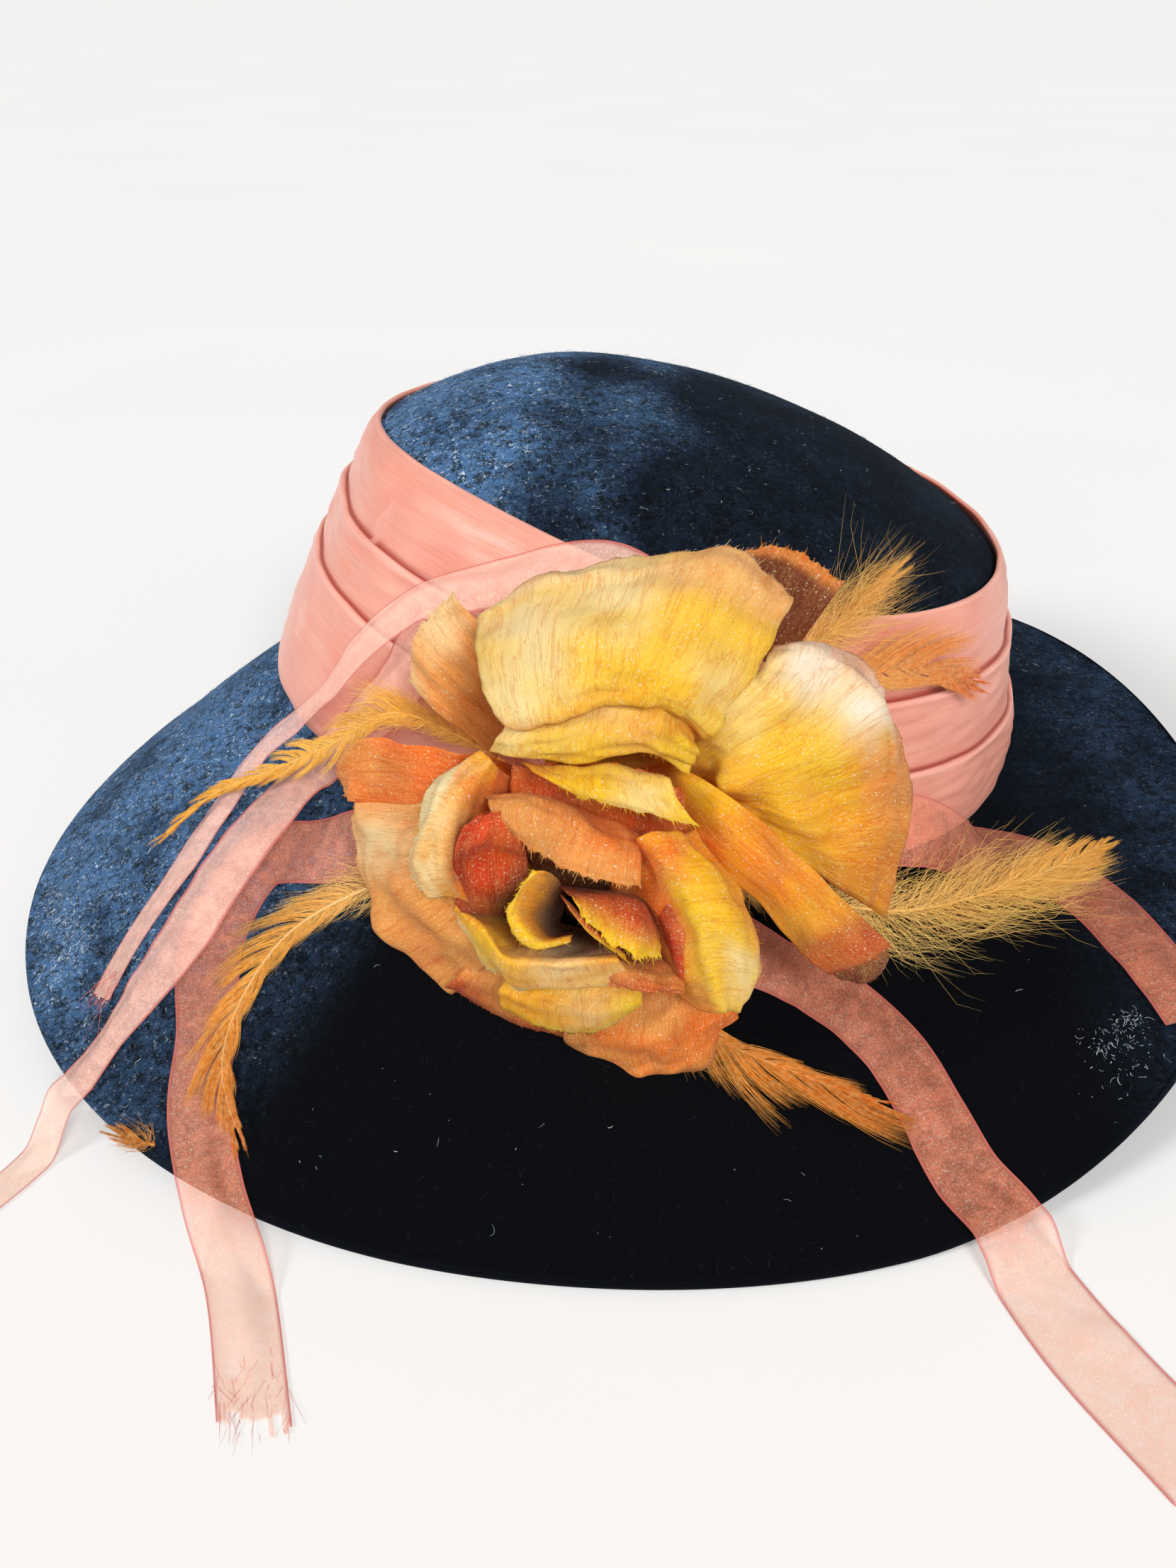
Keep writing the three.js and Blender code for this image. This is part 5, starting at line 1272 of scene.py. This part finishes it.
FEATHERS = {
    "upper_right": dict(start=50, full=(2.3, 2.3), fluff=0.8, rows=[
        (276, 0.09, 0.87, 0, 0.2), (287, 0.0, 1.02, 0, 0.7), (293, -0.03, 1.08, 0, 0.5),
        (299, -0.06, 1.13, 0, 0.12)]),
    "over_band": dict(start=27, full=(2.0, 2.0), fluff=0.35, rows=[
        (280, 0.09, 0.78, 0, 0.2), (292, 0.01, 0.91, 0, 0.7), (304, -0.01, 0.91, 0, 0.8),
        (317, 0.01, 0.79, 10, 0.15)]),
    "back": dict(start=-20, full=(1.8, 2.1), fluff=0.55, rows=[
        (281, 0.18, 0.5, 20, 0.2), (298, 0.26, 0.38, 45, 0.8), (312, 0.35, 0.38, 60, 0.9),
        (322, 0.42, 0.37, 70, 0.5), (330, 0.49, 0.34, 70, 0.12)]),
    "near_right": dict(start=-85, full=(1.3, 3.0), fluff=0.3, rows=[
        (269, 0.23, 0.37, 45, 0.2), (275, 0.44, 0.26, 80, 0.6), (283, 0.57, 0.21, 90, 0.7),
        (289, 0.66, 0.17, 90, 0.12)]),
    "near_left": dict(start=215, full=(1.7, 2.3), fluff=0.3, rows=[
        (250, 0.1, 0.48, 20, 0.15), (236, 0.25, 0.4, 45, 0.5), (231, 0.45, 0.34, 80, 0.6),
        (231, 0.67, 0.25, 90, 0.5), (233, 0.79, 0.2, 90, 0.35), (236, 0.87, 0.14, 90, 0.1)]),
    "front": dict(start=170, full=(1.4, 1.6), fluff=0.3, rows=[
        (247, 0.04, 0.78, 10, 0.15), (238, 0.07, 0.83, 20, 0.6), (227, 0.1, 0.68, 30, 0.6),
        (217, 0.18, 0.55, 45, 0.45), (211, 0.32, 0.47, 60, 0.35), (209, 0.48, 0.38, 70, 0.1)]),
    "tip": dict(start=None, rows=[
        (230.2, 0.97, 0, 90, 0.25), (229, 0.985, 0, 90, 0.3), (227.4, 1.0, 0, 90, 0.1)]),
}


def trimming(start, rows, full_width, steps):
    """The middle line, side and face directions and width of a trimming, at steps places along it."""
    rows = np.array(rows, float)
    at, face = np.radians(rows[:, 0]), np.radians(rows[:, 3])
    spots = brim_point(at, rows[:, 1])
    low = rows[:, 2] == 0
    spots[:, 2] = rows[:, 2] * CROWN_HEIGHT
    spots[low, 2] = ground(spots[low, 0], spots[low, 1])
    faces = np.stack([np.cos(face) * np.cos(at), np.cos(face) * np.sin(at), np.sin(face)], -1)
    widths = rows[:, 4]
    if start is not None:
        spots = np.vstack([pad_start(math.radians(start)), spots])
        faces = np.vstack([rose_axis, faces])
        widths = np.concatenate([[widths[0] * START_WIDTH], widths])
    t = np.linspace(0, 1, steps)
    line = catmull(spots, t)
    key = np.linspace(0, 1, len(spots))
    face = unit(np.stack([np.interp(t, key, faces[:, k]) for k in range(3)], -1))
    soft = np.convolve(np.pad(np.interp(t, key, widths), 6, mode="edge"), np.ones(13) / 13, "valid")
    tangent = unit(np.gradient(line, axis=0))
    side = unit(np.cross(tangent, face))
    return line, side, unit(np.cross(side, tangent)), soft * full_width


RIBBON_ACROSS, RIBBON_ALONG = 17, 340
CURL = 0.16
FRAY_ROWS, FRAY_BACK, FRAY_THREADS = 5, 14, 70
OFF_HAT_PALE = lin(255, 222, 200)
FRAY_COLOUR = lin(226, 150, 138)


def crown_clear(grid):
    """How far a trimming's points are moved out so that they stay off the band."""
    z = grid[..., 2]
    bearing = np.arctan2(grid[..., 1] / HEAD_WIDTH, grid[..., 0] / HEAD_LENGTH)
    up = np.clip((z - FELT - BRIM_DROP) / CROWN_HEIGHT, 0.05, 0.98)
    up = np.clip(up + (z - crown_point(bearing, up)[..., 2]) / CROWN_HEIGHT, 0.05, 0.98)
    proud = np.where(up < BAND_TOP + 0.06, 3.1 * SATIN + 2 * GAP + 0.3, 0.8)
    skin = off_crown(bearing, up, proud)
    depth = np.hypot(skin[..., 0], skin[..., 1]) - np.hypot(grid[..., 0], grid[..., 1])
    push = np.where((z > 36) & (up < 0.9), np.clip(depth, 0, 6), 0)
    return unit(grid * [1, 1, 0]) * push[..., None]


def torn_end(seed, slant, grid, line, side):
    """The faces that a ribbon with a torn end keeps, and the threads that hang from it."""
    pick = np.random.default_rng(seed)
    torn = pick.integers(0, FRAY_ROWS, RIBBON_ACROSS)
    last = RIBBON_ALONG - 1 - torn - (np.arange(RIBBON_ACROSS) * slant).astype(int)
    cells = RIBBON_ACROSS - 1
    i, j = np.divmod(np.arange((RIBBON_ALONG - 1) * cells), cells)
    faces = quads(RIBBON_ALONG, RIBBON_ACROSS)[i < np.minimum(last[j], last[j + 1])]
    j = pick.integers(0, RIBBON_ACROSS, FRAY_THREADS)
    i = np.maximum(last[j] - pick.integers(0, FRAY_BACK, FRAY_THREADS), 2)
    aim = unit(unit(line[-1] - line[-4]) + side[-1] * pick.normal(0.35, 0.5, (FRAY_THREADS, 1)))
    reach = pick.gamma(2.5, 1.1, (FRAY_THREADS, 1))
    paths = np.stack([grid[i, j] + aim * reach * s for s in (0, 0.35, 0.7, 1.0)], 1)
    paths[..., 2] = ground(paths[..., 0], paths[..., 1]) + GAP + 0.3
    widths = np.outer(pick.uniform(0.07, 0.14, FRAY_THREADS), [1, 1, 0.8, 0.4])
    tints = np.tile(FRAY_COLOUR, (FRAY_THREADS, 1))
    return faces, strands(paths, widths, tints, np.broadcast_to(UP, paths.shape), (0, 0, 0.95))


def ribbon(name, start, rows, look, tone, held="laid", slant=None):
    """A streamer. Where slant is given its end is torn, at that slant across its width."""
    seed = sum(map(ord, name))
    line, side, face, width = trimming(start, rows, RIBBON_WIDTH, RIBBON_ALONG)
    long = np.concatenate([[0], np.cumsum(np.linalg.norm(np.diff(line, axis=0), axis=1))])
    across = np.linspace(-0.5, 0.5, RIBBON_ACROSS)
    grid = line[:, None] + side[:, None] * across[None, :, None] * width[:, None, None]
    # where the ribbon is drawn narrower than it is cut, it curls in along its length
    spare = np.sqrt(np.clip((RIBBON_WIDTH / np.maximum(width, 1)) ** 2 - 1, 0, 1.2))[:, None]
    curl = (np.cos(across[None] * 2 * math.pi) * 0.5 + 0.5) * spare * width[:, None] * CURL
    spot = np.stack(np.broadcast_arrays(long[:, None], across * RIBBON_WIDTH), -1)
    wave = ripple(spot * [1, 0.3], 30, seed) * 0.6 + ripple(spot, 12, seed + 1) * 0.18
    free = smooth(0.0, 0.06, np.linspace(0, 1, RIBBON_ALONG))[:, None]
    grid = grid + face[:, None] * ((curl + wave) * free)[..., None]
    off_band = crown_clear(grid)
    grid[..., 2] = np.maximum(grid[..., 2], ground(grid[..., 0], grid[..., 1]) + GAP + 0.15)
    grid = grid + off_band
    cloth = np.stack(np.broadcast_arrays(spot[..., 1], spot[..., 0], np.abs(across) * 2), -1)
    tint = tone * (1 + 0.06 * ripple(spot, 25, seed + 2))[..., None]
    # the ends that lie off the hat, on the table, are paler
    out = on_brim(grid[..., 0], grid[..., 1])[1]
    tint = mix(tint, OFF_HAT_PALE, (0.8 * smooth(0.97, 1.15, out))[..., None])
    if slant is None:
        faces, fringe = quads(RIBBON_ALONG, RIBBON_ACROSS), []
    else:
        faces, threads = torn_end(seed + 3, slant, grid, line, side)
    used, faces = np.unique(faces, return_inverse=True)
    sheet = {"points": grid.reshape(-1, 3)[used], "faces": [faces.reshape(-1, 4)],
             "tint": tint.reshape(-1, 3)[used], "cloth": cloth.reshape(-1, 3)[used]}
    thing = build(f"organza_{name}", [sheet], look, [f"ribbon_{name}"])
    if slant is not None:
        fringe = [build(f"organza_{name}_threads", [threads], look)]


RIBBON_LOOKS = {
    "loop": dict(look=light_organza, tone=lin(255, 186, 166), held="gathered", slant=0.0),
    "tail_front": dict(look=light_organza, tone=lin(255, 180, 160)),
    "tail_near": dict(look=organza_look, tone=lin(255, 146, 112), slant=0.35),
    "tail_back": dict(look=organza_look, tone=lin(255, 132, 96)),
    "tail_right": dict(look=organza_look, tone=lin(255, 134, 98)),
}
for name, facts in RIBBONS.items():
    ribbon(name, **facts, **RIBBON_LOOKS[name])

FEATHER_TONES = {  # colour at the base, in the middle and at the tip
    "upper_right": (lin(255, 214, 120), lin(255, 206, 118), lin(252, 182, 84)),
    "over_band": (lin(255, 226, 130), lin(255, 184, 92), lin(232, 106, 40)),
    "back": (lin(255, 222, 140), lin(255, 204, 104), lin(255, 184, 72)),
    "near_right": (lin(236, 138, 24), lin(248, 160, 50), lin(228, 120, 30)),
    "near_left": (lin(255, 236, 176), lin(250, 176, 56), lin(220, 112, 22)),
    "front": (lin(255, 200, 90), lin(255, 196, 74), lin(252, 186, 60)),
    "tip": (lin(214, 130, 40), lin(206, 120, 36), lin(196, 108, 34)),
}
QUILL_STEPS, QUILL_SIDES = 120, 6
QUILL_BASE, QUILL_TIP = 0.42, 0.08  # radius
BARBS = 11  # on each side, for each millimetre of quill
LOCK = 2.3  # millimetres of quill that one lock of barbs grows from
SHORTEST, FLARE = 2.4, 1.45
LEAN = (56, 17)  # degrees from the quill at its base and at its tip
BARB_WIDTHS = (0.9, 1, 0.95, 0.8, 0.6, 0.4, 0.12)


def quill(line, side, face, base_tone, tip_tone):
    """A feather's tapering round shaft."""
    t = np.linspace(0, 1, QUILL_STEPS)
    radius = mix(QUILL_BASE, QUILL_TIP, t)[:, None, None]
    angles = circle(QUILL_SIDES)
    ring = side[:, None] * np.cos(angles)[None, :, None] + face[:, None] * np.sin(angles)[None, :, None]
    tint = np.broadcast_to(mix(base_tone, tip_tone, t[:, None] * 0.6)[:, None] * 1.05, ring.shape)
    foot = np.arange(QUILL_SIDES)[None]
    faces = [quads(QUILL_STEPS, QUILL_SIDES, True), foot[:, ::-1], (QUILL_STEPS - 1) * QUILL_SIDES + foot]
    points = line[:, None] + ring * radius
    return {"points": points, "faces": faces, "tint": np.clip(tint, 0, 1), "cloth": np.zeros(points.shape)}


def barbs(pick, hand, first, fuller, fluff, line, side, face, width, tones):
    """The barbs on one side of a quill, in locks that part from each other, with down near the base."""
    tangent = unit(np.gradient(line, axis=0))
    long = np.linalg.norm(np.diff(line, axis=0), axis=1).sum()
    count = int(long * BARBS)
    at = np.sort(pick.uniform(first, 0.995, count))
    lock = np.floor(at * long / LOCK + pick.uniform(0, 0.3, count)).astype(int)
    locks = int(lock.max()) + 2
    lean_of, long_of = pick.normal(0, 1, locks)[lock], pick.uniform(0.7, 1.3, locks)[lock]
    k = at * (QUILL_STEPS - 1)
    low = np.floor(k).astype(int)
    high = np.minimum(low + 1, QUILL_STEPS - 1)
    w = (k - low)[:, None]
    root = mix(line[low], line[high], w)
    ahead = unit(mix(tangent[low], tangent[high], w))
    aside = unit(mix(side[low], side[high], w)) * hand
    over = unit(mix(face[low], face[high], w))
    reach = (mix(width[low], width[high], w[:, 0]) / 2) * long_of * pick.uniform(0.8, 1.06, count)
    reach = np.maximum(reach, SHORTEST)[:, None] * fuller * FLARE
    lean = mix(*LEAN, at) + lean_of * 6 + pick.normal(0, 2.5, count)
    lean = np.radians(np.clip(lean, 9, 80))[:, None]
    down = smooth(fluff + 0.15, fluff - 0.1, at)[:, None]
    loose = pick.normal(0, 1, (count, 3))
    swing = pick.normal(0, 1, (count, 3))
    draw = ((lock + 0.5) * LOCK - at * long)[:, None]
    steps = []
    for share in np.linspace(0, 1, len(BARB_WIDTHS)):
        bend = lean * (1 - 0.5 * share)
        p = root + reach * share * (ahead * np.cos(bend) + aside * np.sin(bend))
        p = p + ahead * draw * share * 0.85 + over * (lean_of[:, None] * share * 0.5)
        wave = loose * share ** 1.3 + swing * math.sin(share * math.pi * 1.5) * 0.5
        steps.append(p + wave * reach * (0.02 + 0.2 * down))
    paths = np.stack(steps, 1)
    floor = ground(paths[..., 0], paths[..., 1])
    outside = np.hypot(paths[..., 0] / HEAD_LENGTH, paths[..., 1] / HEAD_WIDTH) > 0.5
    paths[..., 2] = np.where(outside, np.maximum(paths[..., 2], floor + 0.35), paths[..., 2])
    paths = paths + crown_clear(paths)
    thin = mix(0.13, 0.1, down[:, 0])
    widths = np.outer(thin * pick.uniform(0.7, 1.2, count), BARB_WIDTHS)
    base_tone, mid_tone, tip_tone = tones
    half = at[:, None] * 2
    shade = np.where(half < 1, mix(base_tone, mid_tone, half), mix(mid_tone, tip_tone, half - 1))
    shade = np.clip(shade * pick.uniform(0.55, 1.2, (count, 1)), 0, 1)
    return strands(paths, widths, shade, np.broadcast_to(over[:, None], paths.shape))


def feather(name, start, rows, full=(1.6, 1.6), fluff=0.3):
    """A hackle. full is how much fuller than its width each side is, fluff the share of it that is down."""
    pick = np.random.default_rng(sum(map(ord, name)))
    line, side, face, width = trimming(start, rows, FEATHER_WIDTH, QUILL_STEPS)
    tones = FEATHER_TONES[name]
    first = 0.1 if start is not None else 0.0
    parts = [quill(line, side, face, tones[0], tones[-1])]
    for hand, fuller in zip((-1, 1), full):
        parts.append(barbs(pick, hand, first, fuller, fluff, line, side, face, width, tones))
    build(f"hackle_{name}", parts, feather_look, [f"feather_{name}"])


for name, facts in FEATHERS.items():
    feather(name, **facts)

# Table, light and camera

def table_material():
    m = Nodes("table_top")
    tone = m.noise(m.place(), 0.004, 2, 0.5)
    colour = m.blend(m.range(tone, 0.3, 0.7), rgba(229, 229, 229), rgba(227, 227, 228))
    return m.finish(m.surface(colour, 0.7, 0.2))


bpy.ops.mesh.primitive_plane_add(size=40, location=(0, 10, 0))
table = bpy.context.object
table.name = "table"
table.data.materials.append(table_material())

world = bpy.data.worlds.new("studio")
bpy.context.scene.world = world
world.use_nodes = True
background = world.node_tree.nodes["Background"]
background.inputs["Color"].default_value = (1.0, 0.988, 0.97, 1)
background.inputs["Strength"].default_value = 0.34
SENSOR = 36.0  # the camera's sensor in millimetres, on the photograph's long side


def lamp(name, toward, strength, spread, colour):
    """A far light that shines along toward."""
    data = bpy.data.lights.new(name, "SUN")
    data.energy = strength
    data.angle = math.radians(spread)
    data.color = colour
    thing = bpy.data.objects.new(name, data)
    bpy.context.collection.objects.link(thing)
    thing.rotation_mode = "QUATERNION"
    thing.rotation_quaternion = Vector(toward).to_track_quat("-Z", "Y")
    return thing


lamp("window", (0.8, 0.3, -0.58), 1.55, 16, (1.0, 1.0, 0.99))
lamp("front_window", (-0.24, 0.78, -0.66), 3.0, 24, (1.0, 0.99, 0.97))

camera_data = bpy.data.cameras.new("camera")
camera_data.sensor_width = SENSOR
camera_data.lens = FOCAL / PHOTO_HEIGHT * SENSOR
camera_data.clip_start, camera_data.clip_end = 0.01, 100
camera = bpy.data.objects.new("camera", camera_data)
camera.location = (EYE + ORIGIN) / 1000
camera.rotation_euler = (math.radians(90 - PITCH), 0, 0)
bpy.context.collection.objects.link(camera)
bpy.context.scene.camera = camera
bpy.context.scene.view_settings.view_transform = "Standard"
